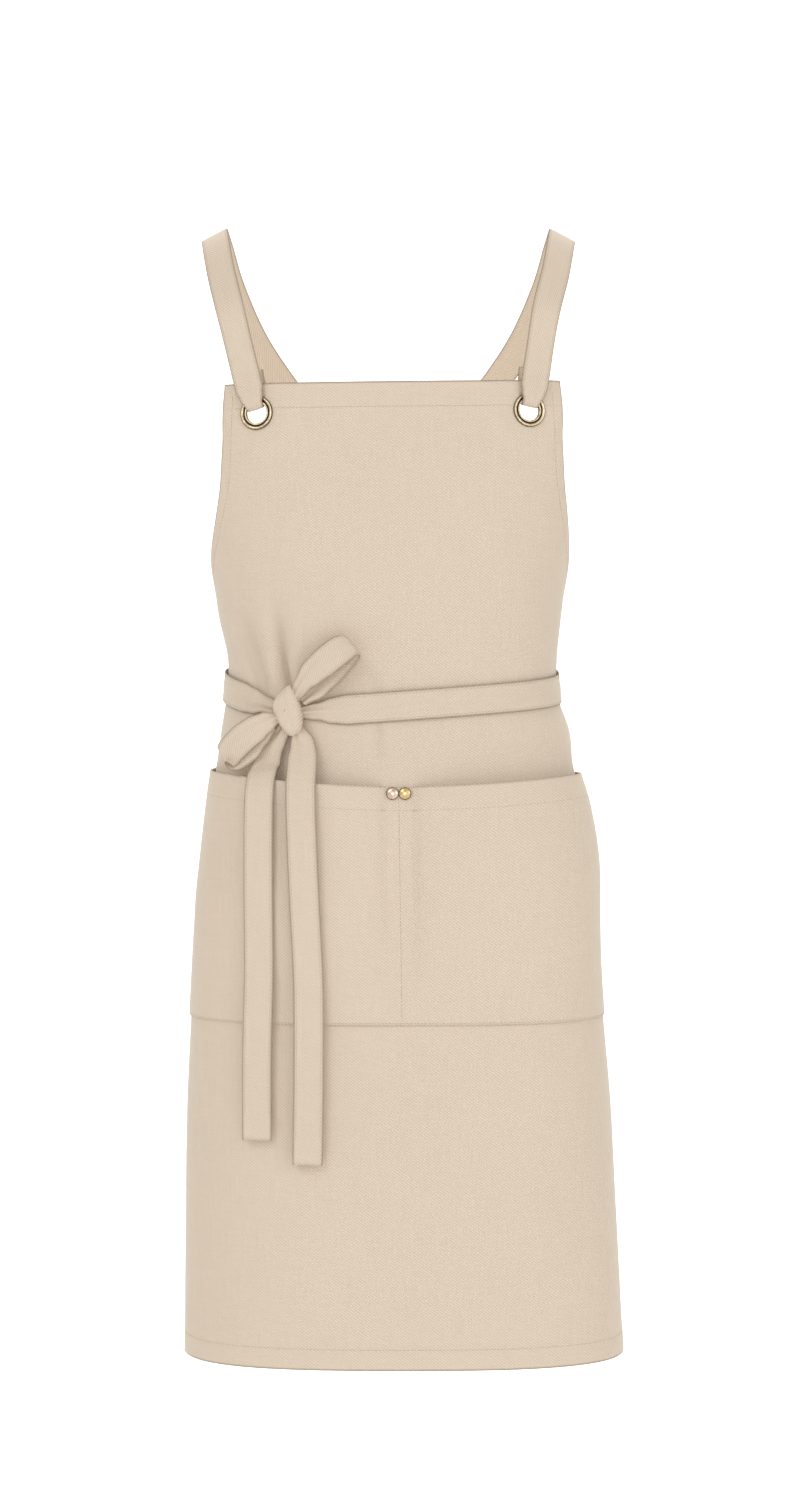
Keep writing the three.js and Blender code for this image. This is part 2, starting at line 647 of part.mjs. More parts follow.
function loopGeometry(rows) {
  const last = rows.length - 1;
  const stations = rows.map(({ right, up, out, wide }, i) => {
    const turn = Math.PI * clamp((i - 3) / (last - 5), 0, 1);
    const endwards = new THREE.Vector3(Math.sign(right) * 0.75, 0, Math.sign(up) * 0.6);
    const face = knotSeat.face.clone().multiplyScalar(Math.cos(turn));
    face.addScaledVector(endwards, Math.sin(turn));
    return {
      at: knotPoint(right * loopSpread, up * loopSpread, knotOut + out * loopDepth),
      face,
      width: wide * strapWidth,
    };
  });
  return ribbon(smoothed(stations, 26));
}

// The two ends hang from the knot in front of the pocket. Sideways is a share of
// strapWidth from the knot's middle, down a share of the way to the end's own drop, wide
// a share of strapWidth, and near is 1 where the end is held at the knot.
const LEFT_TAIL = [
  { sideways: -0.25, down: 0.062, wide: 0.5, near: 1 },
  { sideways: -0.55, down: 0.095, wide: 0.8, near: 0.97 },
  { sideways: -0.8, down: 0.14, wide: 1, near: 0.98 },
  { sideways: -0.82, down: 0.17, wide: 1, near: 0.36 },
  { sideways: -0.82, down: 0.21, wide: 1, near: 0 },
  { sideways: -0.9, down: 0.4, wide: 1, near: 0 },
  { sideways: -1.04, down: 0.6, wide: 1, near: 0 },
  { sideways: -1.21, down: 0.8, wide: 1, near: 0 },
  { sideways: -1.25, down: 1, wide: 1, near: 0 },
];
const RIGHT_TAIL = [
  { sideways: 0.3, down: 0.06, wide: 0.55, near: 1 },
  { sideways: 0.42, down: 0.085, wide: 0.85, near: 0.9 },
  { sideways: 0.45, down: 0.12, wide: 1, near: 0.6 },
  { sideways: 0.44, down: 0.17, wide: 1, near: 0.2 },
  { sideways: 0.45, down: 0.22, wide: 1, near: 0 },
  { sideways: 0.5, down: 0.4, wide: 1, near: 0 },
  { sideways: 0.53, down: 0.6, wide: 1, near: 0 },
  { sideways: 0.48, down: 0.8, wide: 1, near: 0 },
  { sideways: 0.4, down: 1, wide: 1, near: 0 },
];
function tailGeometry(rows, endDrop) {
  const stations = rows.map(({ sideways, down, wide, near }) => {
    const share = mix(knotDrop, endDrop, down) / apronLength;
    const across = -knotAcross + sideways * strapWidth;
    const face = facingOf(smoothCloth, across, share);
    const bulge = pocketStandoff(across, Math.max(share, pocketTop));
    const hung = pocketMiddle + pocketCloth / 2 + bulge + tailClearance + strapThick / 2;
    const at = smoothCloth(across, share).addScaledVector(face, mix(hung, knotOut * tailTuck, near));
    face.lerp(new THREE.Vector3(0, -1, 0), 0.4 * (1 - near)).normalize();
    return { at, face, width: wide * strapWidth };
  });
  return ribbon(smoothed(stations, 24));
}

// Studs and rivets: a dome on the pocket's cloth, seated where the pocket is sewn down.
function domeGeometry(across, drop, radius, height, sides) {
  const profile = [
    [0, 0],
    [radius, 0],
    [radius, height * 0.3],
    [radius * 0.8, height * 0.78],
    [radius * 0.45, height * 0.96],
    [0, height],
  ].map(([r, h]) => new THREE.Vector2(r, h));
  const dome = new THREE.LatheGeometry(profile, sides);
  dome.rotateX(Math.PI / 2);
  const down = drop / apronLength;
  const facing = clothFacing(across, down);
  const out = pocketMiddle + pocketCloth / 2 + seat + facetRoom;
  const centre = clothPoint(across, down).addScaledVector(facing, out);
  return placed(geometryOf(solidOf(dome)), centre, facing);
}

const colours = { cloth: 0xe1d0b9, brass: 0x9a7b4f };
const clothLook = () => new THREE.MeshStandardMaterial({
  color: colours.cloth, roughness: 0.85, metalness: 0,
});
const brassLook = () => new THREE.MeshStandardMaterial({
  color: colours.brass, roughness: 0.4, metalness: 1,
});

const apron = new THREE.Group();
function add(name, geometry, look) {
  const mesh = new THREE.Mesh(geometry, look());
  mesh.name = name;
  apron.add(mesh);
}
add("apron_body", bodyGeometry(), clothLook);
add("front_pocket", pocketGeometry(), clothLook);
for (const eyelet of EYELETS) add(eyelet.name, eyeletGeometry(eyelet), brassLook);
add("shoulder_strap_left", shoulderStrapGeometry(-1), clothLook);
add("shoulder_strap_right", shoulderStrapGeometry(1), clothLook);
add("waist_tie_left", waistTieGeometry(-1), clothLook);
add("waist_tie_right", waistTieGeometry(1), clothLook);
add("bow_knot", knotGeometry(), clothLook);
add("bow_loop_upper", loopGeometry(UPPER_LOOP), clothLook);
add("bow_loop_lower", loopGeometry(LOWER_LOOP), clothLook);
add("tie_tail_left", tailGeometry(LEFT_TAIL, leftTailDrop), clothLook);
add("tie_tail_right", tailGeometry(RIGHT_TAIL, rightTailDrop), clothLook);
for (const [side, name] of [[-1, "left"], [1, "right"]]) {
  const stud = domeGeometry(side * studSpacing / 2, pocketDrop + studDrop, studRadius, studHeight, 14);
  add(`pocket_stud_${name}`, stud, brassLook);
  const rivetAcross = side * (pocketHalf - rivetInset);
  const rivet = domeGeometry(rivetAcross, pocketDrop + rivetInset, rivetRadius, rivetHeight, 12);
  add(`pocket_rivet_${name}`, rivet, brassLook);
}

export default apron;
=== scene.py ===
# %% [markdown]
# # A cross back apron
# The apron hangs on its two crossing straps as if it were worn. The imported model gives
# every piece its place and size. This lesson dresses it: cloth with hems and a twill
# weave, sewn straps, a tied bow, and brass eyelets and studs. Each surface is worked out
# as whole numpy arrays, from the same few sizes as the model.

# %% Load the frame
import math

import bmesh
import bpy
import numpy as np
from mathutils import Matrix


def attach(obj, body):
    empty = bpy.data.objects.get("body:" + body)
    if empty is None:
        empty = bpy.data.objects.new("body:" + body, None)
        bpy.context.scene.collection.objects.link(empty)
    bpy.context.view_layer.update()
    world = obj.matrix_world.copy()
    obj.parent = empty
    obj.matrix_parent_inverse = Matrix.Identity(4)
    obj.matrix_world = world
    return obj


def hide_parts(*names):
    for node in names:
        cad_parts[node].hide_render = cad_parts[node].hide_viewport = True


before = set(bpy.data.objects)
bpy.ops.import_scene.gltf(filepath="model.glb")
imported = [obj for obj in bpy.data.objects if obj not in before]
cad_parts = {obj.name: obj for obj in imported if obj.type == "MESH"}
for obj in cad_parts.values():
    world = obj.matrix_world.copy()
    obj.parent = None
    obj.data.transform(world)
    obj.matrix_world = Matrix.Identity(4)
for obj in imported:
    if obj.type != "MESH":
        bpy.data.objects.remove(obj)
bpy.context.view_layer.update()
print("nodes:", sorted(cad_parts))

# %% [markdown]
# ## Sizes
# The same sizes as the model's, here in metres. Cloth is measured flat, as it is cut:
# across is the distance from the middle of the apron, and down is the share of the way
# from the bib's top to the hem.

# %% The sizes
MM = 0.001
APRON_LENGTH = 850 * MM
BIB_HALF = 150 * MM
SKIRT_HALF = 350 * MM
BODY_CLOTH = 1.2 * MM
POCKET_CLOTH = 1.2 * MM
POCKET_HALF = 240 * MM
POCKET_DEPTH = 204 * MM
POCKET_DROP = 350 * MM
POCKET_BULGE = 14 * MM
SEAM_HALF = 12 * MM
SIDE_SEAM = 12 * MM
BIB_DROP = 134 * MM
WORN_BREADTH = 194 * MM
WORN_DEPTH = 122 * MM
SQUARENESS = 2.8
LEAN = 0.0144
CLOTH_SHIFT = 2 * MM
LEFT_LIFT = 12 * MM
RIGHT_LIFT = 8 * MM
TOP_TILT = 0.012
STRAP_WIDTH = 26 * MM
STRAP_THICK = 2 * MM
SHOULDER_SPREAD = 154 * MM
SHOULDER_DEPTH = 112 * MM
TIE_DROP = 287 * MM
TIE_SIDE_DROP = 263 * MM
TIE_STANDOFF = 3.3 * MM
KNOT_ACROSS = 92 * MM
KNOT_DROP = 284 * MM
KNOT_WIDTH = 26.5 * MM
KNOT_HEIGHT = 43.5 * MM
KNOT_THICK = 17 * MM
KNOT_GAP = 1.2 * MM
LOOP_SPREAD = 60 * MM
LOOP_DEPTH = 9 * MM
LEFT_TAIL_DROP = 653 * MM
RIGHT_TAIL_DROP = 673 * MM
TAIL_CLEARANCE = 5.4 * MM
TAIL_TUCK = 0.58
EYELET_HOLE = 9.2 * MM
EYELET_RIM = 14.9 * MM
EYELET_HEIGHT = 1.8 * MM
EYELET_ACROSS = 119 * MM
EYELET_DROP = 26 * MM
SIDE_EYELET_INSET = 24 * MM
SIDE_EYELET_ACROSS = SKIRT_HALF - SIDE_EYELET_INSET
STUD_RADIUS = 5.4 * MM
STUD_HEIGHT = 3.2 * MM
STUD_SPACING = 10.6 * MM
STUD_DROP = 5.5 * MM
RIVET_RADIUS = 4 * MM
RIVET_HEIGHT = 1.6 * MM
RIVET_INSET = 7 * MM
SEAT = 0.3 * MM
TURN_ROOM = 0.9 * MM
EYELET_SKIN = BODY_CLOTH / 2 + SEAT + 0.1 * MM
POCKET_TOP = POCKET_DROP / APRON_LENGTH
POCKET_BOTTOM = (POCKET_DROP + POCKET_DEPTH) / APRON_LENGTH
SIDES = ((-1, "left"), (1, "right"))

# %% [markdown]
# ## The worn form
# Cloth that is worn takes the wearer's form: flat in front, round at the sides, drawn in
# at the waist. A cloth simulation would need a body to lie on. Here the form is a table
# of outlines instead, each a superellipse, and the cloth is wrapped round it at its true
# flat width, so that nothing stretches.

# %% The tables of the form, the cut and the folds
# By height: shares of the breadth to both sides, and of the depth in front and behind.
SECTIONS = {
    "down": [0.0, 0.07, 0.12, 0.17, 0.205, 0.243, 0.293, 0.33, 0.368, 0.406, 0.444, 0.494,
             0.544, 0.644, 0.744, 0.857, 1.0],
    "left": [0.91, 0.915, 0.9, 0.86, 0.815, 0.795, 0.757, 0.762, 0.789, 0.814, 0.845,
             0.88, 0.912, 0.944, 0.97, 0.986, 0.999],
    "right": [0.902, 0.89, 0.865, 0.818, 0.782, 0.758, 0.736, 0.738, 0.79, 0.806, 0.86,
              0.9, 0.904, 0.921, 0.953, 0.972, 0.996],
    "front": [0.82, 0.885, 0.918, 0.932, 0.93, 0.91, 0.865, 0.858, 0.876, 0.91, 0.935,
              0.955, 0.965, 0.98, 0.99, 0.998, 1.0],
    "back": [0.78, 0.81, 0.83, 0.84, 0.832, 0.815, 0.8, 0.8, 0.82, 0.86, 0.89, 0.91, 0.92,
             0.925, 0.93, 0.94, 0.945],
}
# How far the cloth has flared from the bib's top to the side corner.
CUT = {
    "down": [0.0, 0.247, 0.423, 0.6, 0.723, 0.829, 0.924, 1.0],
    "flare": [0.003, 0.024, 0.056, 0.15, 0.29, 0.48, 0.73, 1.0],
}
# From and to: shares of the skirt's half width, the heights, and shares of the depth.
FOLDS = [
    {"across": (-0.425, -0.325), "down": (0.2, 0.34), "width": (0.11, 0.035), "height": -0.03},
    {"across": (-0.37, -0.3), "down": (0.2, 0.325), "width": (0.07, 0.035), "height": 0.022},
    {"across": (-0.315, -0.262), "down": (0.19, 0.34), "width": (0.08, 0.03), "height": -0.034},
    {"across": (-0.255, -0.243), "down": (0.21, 0.325), "width": (0.07, 0.035), "height": 0.02},
    {"across": (-0.051, -0.045), "down": (0.26, 0.4), "width": (0.05, 0.04), "height": -0.018},
]
# Lesser creases, too fine for the model.
FINE_FOLDS = [
    {"across": (-0.45, -0.35), "down": (0.235, 0.332), "width": (0.05, 0.026), "height": -0.013},
    {"across": (-0.4, -0.334), "down": (0.235, 0.332), "width": (0.05, 0.026), "height": 0.011},
    {"across": (-0.326, -0.262), "down": (0.235, 0.332), "width": (0.045, 0.024), "height": -0.015},
    {"across": (-0.295, -0.246), "down": (0.245, 0.332), "width": (0.04, 0.024), "height": 0.012},
]


def ease(t):
    """Smoothstep: 3 t squared minus 2 t cubed, between 0 and 1."""
    c = np.clip(t, 0.0, 1.0)
    return c * c * (3 - 2 * c)


def mix(a, b, t):
    """The point a share t of the way from a to b."""
    return a + (b - a) * t


def along(table, column, value):
    """A table's column at any down: a cubic between rows, with the slope of its neighbours."""
    x = np.array(table["down"])
    y = np.array(table[column])
    last = len(x) - 1
    v = np.clip(value, x[0], x[last])
    i = np.clip(np.searchsorted(x, v, side="left") - 1, 0, last - 1)
    before = np.maximum(np.arange(last + 1) - 1, 0)
    after = np.minimum(np.arange(last + 1) + 1, last)
    slope = (y[after] - y[before]) / (x[after] - x[before])
    step = x[i + 1] - x[i]
    t = (v - x[i]) / step
    return ((2 * t**3 - 3 * t**2 + 1) * y[i] + (t**3 - 2 * t**2 + t) * slope[i] * step
            + (-2 * t**3 + 3 * t**2) * y[i + 1] + (t**3 - t**2) * slope[i + 1] * step)


# %% The form's surface
OUTLINE_STEPS = 160


def form_point(across, down):
    """Walks the distance across along the superellipse at each height.

    The outline is x = breadth sin(a)^(2/n), y = -depth cos(a)^(2/n), from the front's
    middle (a = 0) to the back's. Its points are summed to a walked length, and the
    wanted distance is found in that sum."""
    across, down = np.broadcast_arrays(np.asarray(across, float), np.asarray(down, float))
    heights, which = np.unique(down.ravel(), return_inverse=True)
    angle = np.linspace(0, np.pi, OUTLINE_STEPS + 1)
    cos = np.cos(angle)
    rounded = np.sign(cos) * np.abs(cos) ** (2 / SQUARENESS)
    bulge = np.sin(angle).clip(0) ** (2 / SQUARENESS)
    front = along(SECTIONS, "front", heights)[:, None] * WORN_DEPTH
    back = along(SECTIONS, "back", heights)[:, None] * WORN_DEPTH
    y = -np.where(cos > 0, front, back) * rounded
    x = np.stack([along(SECTIONS, side, heights)[:, None] * WORN_BREADTH * bulge
                  for side in ("left", "right")], axis=1)
    y = np.repeat(y[:, None, :], 2, axis=1)
    steps = np.hypot(np.diff(x, axis=2), np.diff(y, axis=2))
    walked = np.concatenate([np.zeros_like(x[:, :, :1]), np.cumsum(steps, axis=2)], axis=2)
    outline = which.ravel() * 2 + (across.ravel() >= 0)
    # Outlines lie end to end in one sorted list, further apart than any is long.
    spread = 10.0
    keys = walked.reshape(-1, OUTLINE_STEPS + 1) + spread * np.arange(2 * len(heights))[:, None]
    reach = np.abs(across.ravel())
    first = outline * (OUTLINE_STEPS + 1)
    k = np.searchsorted(keys.ravel(), reach + spread * outline, side="left")
    k = np.clip(k, first + 1, first + OUTLINE_STEPS)
    w, xs, ys = walked.ravel(), x.ravel(), y.ravel()
    t = (reach - w[k - 1]) / (w[k] - w[k - 1])
    px = np.sign(across.ravel()) * mix(xs[k - 1], xs[k], t)
    py = mix(ys[k - 1], ys[k], t)
    return px.reshape(across.shape), py.reshape(across.shape)


def lift_at(across, down):
    """Rows of the weave rise at the sides, where the tie pulls the cloth up.

    The rise is a squared sine of the distance from the middle, and the bib's top is
    tilted a little towards the shorter strap."""
    share = np.sin(np.pi / 2 * np.clip(np.abs(across) / POCKET_HALF, 0, 1)) ** 2
    waist = ease((down - 0.2) / 0.13) * (1 - ease((down - POCKET_TOP) / 0.2))
    tilt = TOP_TILT * across * (1 - ease(down / 0.2))
    return np.where(across < 0, LEFT_LIFT, RIGHT_LIFT) * share * waist + tilt


def unit(vectors):
    """Vectors scaled to length 1."""
    return vectors / np.linalg.norm(vectors, axis=-1, keepdims=True)


def smooth_cloth(across, down):
    """The cloth's middle surface before its creases."""
    x, y = form_point(across + CLOTH_SHIFT, down)
    drop = BIB_DROP + down * APRON_LENGTH
    return np.stack([x + LEAN * drop, y, lift_at(across, down) - drop], axis=-1)


def facing_of(surface, across, down):
    """The outward normal: the cross product of steps to the side and upwards."""
    step = 2 * MM
    high = np.clip(down - step / APRON_LENGTH, 0, 1)
    low = np.clip(down + step / APRON_LENGTH, 0, 1)
    sideways = surface(across + step, down) - surface(across - step, down)
    upwards = surface(across, high) - surface(across, low)
    return unit(np.cross(sideways, upwards))


# %% [markdown]
# ## Gathers
# The bow pulls the bib into a few creases. Each is a valley or a ridge along a line, with
# a bell-shaped section, and fades at both ends. The eyelets hold the cloth flat around
# themselves.

# %% The creased cloth
# How dark the painted shade in the creases' valleys is, and the valley depth at which it is full.
CREASE_SHADE_STRENGTH = 0.4
SHADED_DEPTH = 4 * MM


def fold_at(across, down):
    """The sum of the creases: a bell curve of the distance from each crease's line."""
    height = np.zeros(np.broadcast(across, down).shape)
    for fold in FOLDS + FINE_FOLDS:
        top, bottom = fold["down"]
        t = (down - top) / (bottom - top)
        middle = mix(*fold["across"], np.clip(t, 0, 1)) * SKIRT_HALF
        gap = (across - middle) / (mix(*fold["width"], np.clip(t, 0, 1)) * WORN_DEPTH)
        fade = ease(t * 1.6) * ease((1 - t) * 5)
        height = height + fold["height"] * WORN_DEPTH * np.exp(-gap * gap) * fade
    return height


def crease_shade(across, down):
    """Painted shade in the valleys: the square of their share of the shaded depth."""
    return CREASE_SHADE_STRENGTH * np.clip(-fold_at(across, down) / SHADED_DEPTH, 0, 1) ** 2


EYELETS = {
    "bib_left": (-EYELET_ACROSS, EYELET_DROP / APRON_LENGTH),
    "bib_right": (EYELET_ACROSS, EYELET_DROP / APRON_LENGTH),
    "side_left": (-SIDE_EYELET_ACROSS, TIE_SIDE_DROP / APRON_LENGTH),
    "side_right": (SIDE_EYELET_ACROSS, TIE_SIDE_DROP / APRON_LENGTH),
}
EYELET_SEATS = {
    name: (smooth_cloth(*np.array(place)), facing_of(smooth_cloth, *np.array(place)))
    for name, place in EYELETS.items()
}


def cloth_point(across, down):
    """The smooth cloth moved along its normal by the creases, and level at the eyelets."""
    across, down = np.broadcast_arrays(np.asarray(across, float), np.asarray(down, float))
    point = smooth_cloth(across, down)
    point = point + facing_of(smooth_cloth, across, down) * fold_at(across, down)[..., None]
    for centre, facing in EYELET_SEATS.values():
        away = point - centre
        height = away @ facing
        far = np.linalg.norm(away, axis=-1)
        near = 1 - ease((far - EYELET_RIM * 1.8) / (EYELET_RIM * 0.9))
        point = point - facing * (height * near)[..., None]
    return point


def cloth_facing(across, down):
    """The creased cloth's outward normal."""
    return facing_of(cloth_point, across, down)


def cloth_half(down):
    """Half the flat width of the cloth at a height. The flare ends at the corners."""
    corner = (TIE_SIDE_DROP - SIDE_EYELET_INSET) / APRON_LENGTH
    return mix(BIB_HALF, SKIRT_HALF, along(CUT, "flare", down / corner))


# %% [markdown]
# ## Making meshes
# A sheet of cloth is a grid with an outer and an inner side, joined round its rim, so
# that it has a real thickness and casts the shadow of one. The place of each point in
# the flat cloth goes into an attribute, weave, which the twill reads: then the threads
# follow the cloth and don't stretch.

# %% The mesh helpers
INSIDE_SHIFT = (0.9, 0, 0)


def link_object(name, data):
    """A new object at the origin, linked to the scene."""
    made = bpy.data.objects.new(name, data)
    bpy.context.scene.collection.objects.link(made)
    return made


def mesh_object(name, points, faces, finish):
    """A smooth mesh object made of arrays of points and faces."""
    mesh = bpy.data.meshes.new(name)
    mesh.from_pydata(points.reshape(-1, 3).tolist(), [], [list(map(int, f)) for f in faces])
    mesh.shade_smooth()
    mesh.materials.append(finish)
    return link_object(name, mesh)


def add_attribute(piece, name, kind, field, values):
    """Stores a value for each point of a piece."""
    layer = piece.data.attributes.new(name, kind, "POINT")
    layer.data.foreach_set(field, np.ascontiguousarray(values, float).reshape(-1))


def add_piece(name, points, faces, weave, finish, painted_shade=None):
    """A piece of the apron, with its place in the weave and, if given, its painted shade.

    Its painted shade is 1 where shade is painted darker: at a folded edge, in a crease or in a groove."""
    piece = mesh_object(name, points, faces, finish)
    add_attribute(piece, "weave", "FLOAT_VECTOR", "vector", weave)
    if painted_shade is not None:
        add_attribute(piece, "painted_shade", "FLOAT", "value", painted_shade)
    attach(piece, "root")
    return piece


def grid_quads(rows, cols, closed_rows=False, closed_cols=False):
    """The quads of a grid, row by row, closed into a ring either way if asked."""
    r = np.arange(rows if closed_rows else rows - 1)[:, None]
    c = np.arange(cols if closed_cols else cols - 1)[None, :]
    r2, c2 = (r + 1) % rows, (c + 1) % cols
    quads = [r * cols + c, r2 * cols + c, r2 * cols + c2, r * cols + c2]
    return np.stack(np.broadcast_arrays(*quads), axis=-1)


def walled_sheet(rows, cols, holes):
    """The faces of a sheet with two sides, its rim, and square holes with their walls."""
    quads = grid_quads(rows, cols)
    keep = np.ones(quads.shape[:2], bool)
    for r0, r1, c0, c1 in holes:
        keep[r0:r1, c0:c1] = False
    side = quads[keep]
    back = side[:, ::-1] + rows * cols
    r_edge, c_edge = np.arange(rows), np.arange(cols)
    rim = np.concatenate([c_edge[:-1], r_edge[:-1] * cols + cols - 1,
                          (rows - 1) * cols + c_edge[:0:-1], r_edge[:0:-1] * cols])
    loops = [rim]
    for r0, r1, c0, c1 in holes:
        loops.append(np.concatenate([
            np.arange(r0, r1) * cols + c0, r1 * cols + np.arange(c0, c1),
            np.arange(r1, r0, -1) * cols + c1, r0 * cols + np.arange(c1, c0, -1)]))
    walls = []
    for loop in loops:
        ahead = np.roll(loop, -1)
        walls.append(np.stack([loop, ahead, ahead + rows * cols, loop + rows * cols], axis=-1))
    return np.concatenate([side, back] + walls)


def add_sheet(name, sides, across, down, shift, finish, painted_shade, holes=()):
    """A sheet made of an outer and an inner side, which read the weave at two places."""
    flat = np.stack([across, down * APRON_LENGTH, np.zeros_like(across)], axis=-1)
    weave = np.stack([flat + shift, flat + INSIDE_SHIFT])
    faces = walled_sheet(*across.shape, holes)
    return add_piece(name, np.stack(sides), faces, weave, finish, np.stack([painted_shade, painted_shade]))


# %% [markdown]
# ## Hems
# Each edge of the real cloth is turned under and stitched down. That makes it thicker,
# rounds it, and leaves a shallow groove under the stitches. Grid lines are packed where
# those happen and are wide apart elsewhere.

# %% The hems
SEAM_INSET = 2 * MM
# How far in from an edge the painted edge shade reaches.
SHADE_REACH = 2.2 * MM


def hem_lines(hem):
    """Distances in from an edge where grid lines go: at its rounding and its groove."""
    edge = np.array([0, 0.15, 0.5, 1.0, 2.2]) * MM
    middle = np.linspace(0.35, 0.7, 2) * hem
    groove = hem + np.array([-3.4, -2.6, -2.0, -1.4, -0.6, 0.4, 2.5]) * MM
    return np.sort(np.concatenate([edge, middle, groove]))


def hem_profile(distance, hem, thick, relief=1.0):
    """How far the outer and inner sides stand off the middle, at a distance from an edge.

    The edge is a quarter circle, the turned cloth adds its thickness inside, and the
    stitches press a bell-shaped groove a seam's inset from the hem's own edge. Relief is
    how much of both shows."""
    turned = 1 - ease((distance - hem + 0.8 * MM) / (1.2 * MM))
    groove = np.exp(-((distance - hem + SEAM_INSET) / (0.9 * MM)) ** 2)
    rounding = np.sqrt(1 - (1 - np.clip(distance / (1.0 * MM), 0.02, 1)) ** 2)
    outer = thick / 2 + relief * (0.28 * MM * turned - 0.34 * MM * groove)
    inner = thick / 2 + 0.62 * MM * turned - 0.1 * MM * groove
    return outer * rounding, inner * rounding


def edge_shade(distance):
    """Painted shade along folded edges: 1 at the edge, easing to 0 further in."""
    return 1 - ease(distance / SHADE_REACH)


def merged(hem_pairs):
    """The strongest of several edges' standoffs: largest inside, smallest at a rounding."""
    outer = np.stack([pair[0] for pair in hem_pairs])
    inner = np.stack([pair[1] for pair in hem_pairs])
    base = BODY_CLOTH / 2
    return tuple(
        np.where(side.min(axis=0) < base * 0.97, side.min(axis=0), side.max(axis=0))
        for side in (outer, inner))


def lines_between(low_edge, high_edge, hem_low, hem_high, spacing):
    """Grid lines from one hem to the other: packed at both hems, evenly spaced between."""
    low = low_edge + hem_lines(hem_low)
    high = high_edge - hem_lines(hem_high)[::-1]
    count = max(int((high[0] - low[-1]) / spacing), 1)
    return np.concatenate([low, np.linspace(low[-1], high[0], count + 1)[1:-1], high])


# %% [markdown]
# ## The apron's body
# Bib and skirt are one cloth. Its side hem is measured from the edge at every height,
# so the outermost columns keep their distance from it where the cloth flares.

# %% The bib and skirt
SIDE_HEM = 12 * MM
TOP_HEM = 24 * MM
BOTTOM_HEM = 20 * MM
GRID_SPACING = 4.6 * MM
CREASED_ACROSS = -KNOT_ACROSS - 12 * MM
CREASED_HALF = 44 * MM
HOLE_RADIUS = mix(EYELET_HOLE, EYELET_RIM, 0.3)


def opened(across, down, hole_across, hole_down):
    """Draws a square block of the flat grid round into a circle, for an eyelet's hole.

    Points on the block's edge move onto the circle along their own ray, and the move
    fades to nothing over the next few millimetres."""
    half_side = HOLE_RADIUS * 0.8
    a = across - hole_across
    b = (down - hole_down) * APRON_LENGTH
    middle_row = np.argmin(np.abs(b[:, 0]))
    r0 = np.argmin(np.abs(b[:, 0] + half_side))
    r1 = np.argmin(np.abs(b[:, 0] - half_side))
    c0 = np.argmin(np.abs(a[middle_row] + half_side))
    c1 = np.argmin(np.abs(a[middle_row] - half_side))
    far = np.hypot(a, b).clip(1e-6)
    square = np.maximum(np.abs(a), np.abs(b))
    pull = 1 - ease((square - half_side) / (HOLE_RADIUS * 0.9))
    edge = np.zeros(a.shape, bool)
    edge[r0:r1 + 1, [c0, c1]] = True
    edge[[r0, r1], c0:c1 + 1] = True
    pull[edge] = 1
    radius = np.where(pull > 0, mix(far, HOLE_RADIUS, pull), far)
    stretch = radius / far - 1
    return across + a * stretch, down + b * stretch / APRON_LENGTH, (r0, r1, c0, c1)


def body_grid():
    """The flat places of the body's grid points, and its four round holes."""
    rows = lines_between(0, APRON_LENGTH, TOP_HEM, BOTTOM_HEM, GRID_SPACING) / APRON_LENGTH
    packed = lines_between(-SKIRT_HALF, SKIRT_HALF, SIDE_HEM, SIDE_HEM, GRID_SPACING)
    between = (packed[1:] + packed[:-1]) / 2
    creased = np.abs(between - CREASED_ACROSS) < CREASED_HALF
    packed = np.sort(np.concatenate([packed, between[creased]]))
    hem = hem_lines(SIDE_HEM)
    half = cloth_half(rows)[:, None]
    middle = packed[None, len(hem):-len(hem)] / (SKIRT_HALF - hem[-1])
    across = np.concatenate([-half + hem, middle * (half - hem[-1]), half - hem[::-1]], axis=1)
    down = np.repeat(rows[:, None], across.shape[1], axis=1)
    holes = []
    for hole_across, hole_down in EYELETS.values():
        across, down, hole = opened(across, down, hole_across, hole_down)
        holes.append(hole)
    return across, down, holes


def rumple(across, down):
    """Slow, shallow waves of the cloth on the wearer: sums of sines of the place in the flat cloth."""
    a, d = across / MM, down * APRON_LENGTH / MM
    soft = (np.sin(a / 47 + d / 120 + 0.7) * np.sin(d / 83 - a / 160)
            + 0.6 * np.sin(a / 23 - d / 71 + 2.1) * np.sin(d / 41 + a / 90 + 0.4))
    return 0.28 * MM * soft


def make_body(finish):
    """The bib and skirt: the creased cloth with its hems, as one closed sheet."""
    across, down, holes = body_grid()
    side = cloth_half(down) - np.abs(across)
    outer_off, inner_off = merged([
        hem_profile(side, SIDE_HEM, BODY_CLOTH),
        hem_profile(down * APRON_LENGTH, TOP_HEM, BODY_CLOTH),
        hem_profile((1 - down) * APRON_LENGTH, BOTTOM_HEM, BODY_CLOTH)])
    facing = cloth_facing(across, down)
    middle = cloth_point(across, down) + facing * rumple(across, down)[..., None]
    sides = (middle + facing * outer_off[..., None], middle - facing * inner_off[..., None])
    edge = np.minimum(side, np.minimum(down, 1 - down) * APRON_LENGTH)
    # Painted shade along the edges and in the creases' valleys.
    painted_shade = np.maximum(edge_shade(edge), crease_shade(across, down))
    return add_sheet("bib_and_skirt", sides, across, down, (0, 0, 0), finish, painted_shade, holes)


# %% [markdown]
# ## Shader maths
# A finish is easier to read as sums than as wires. Wire wraps a socket and adds a Math
# node for each sign in an expression. Finish adds any other node.

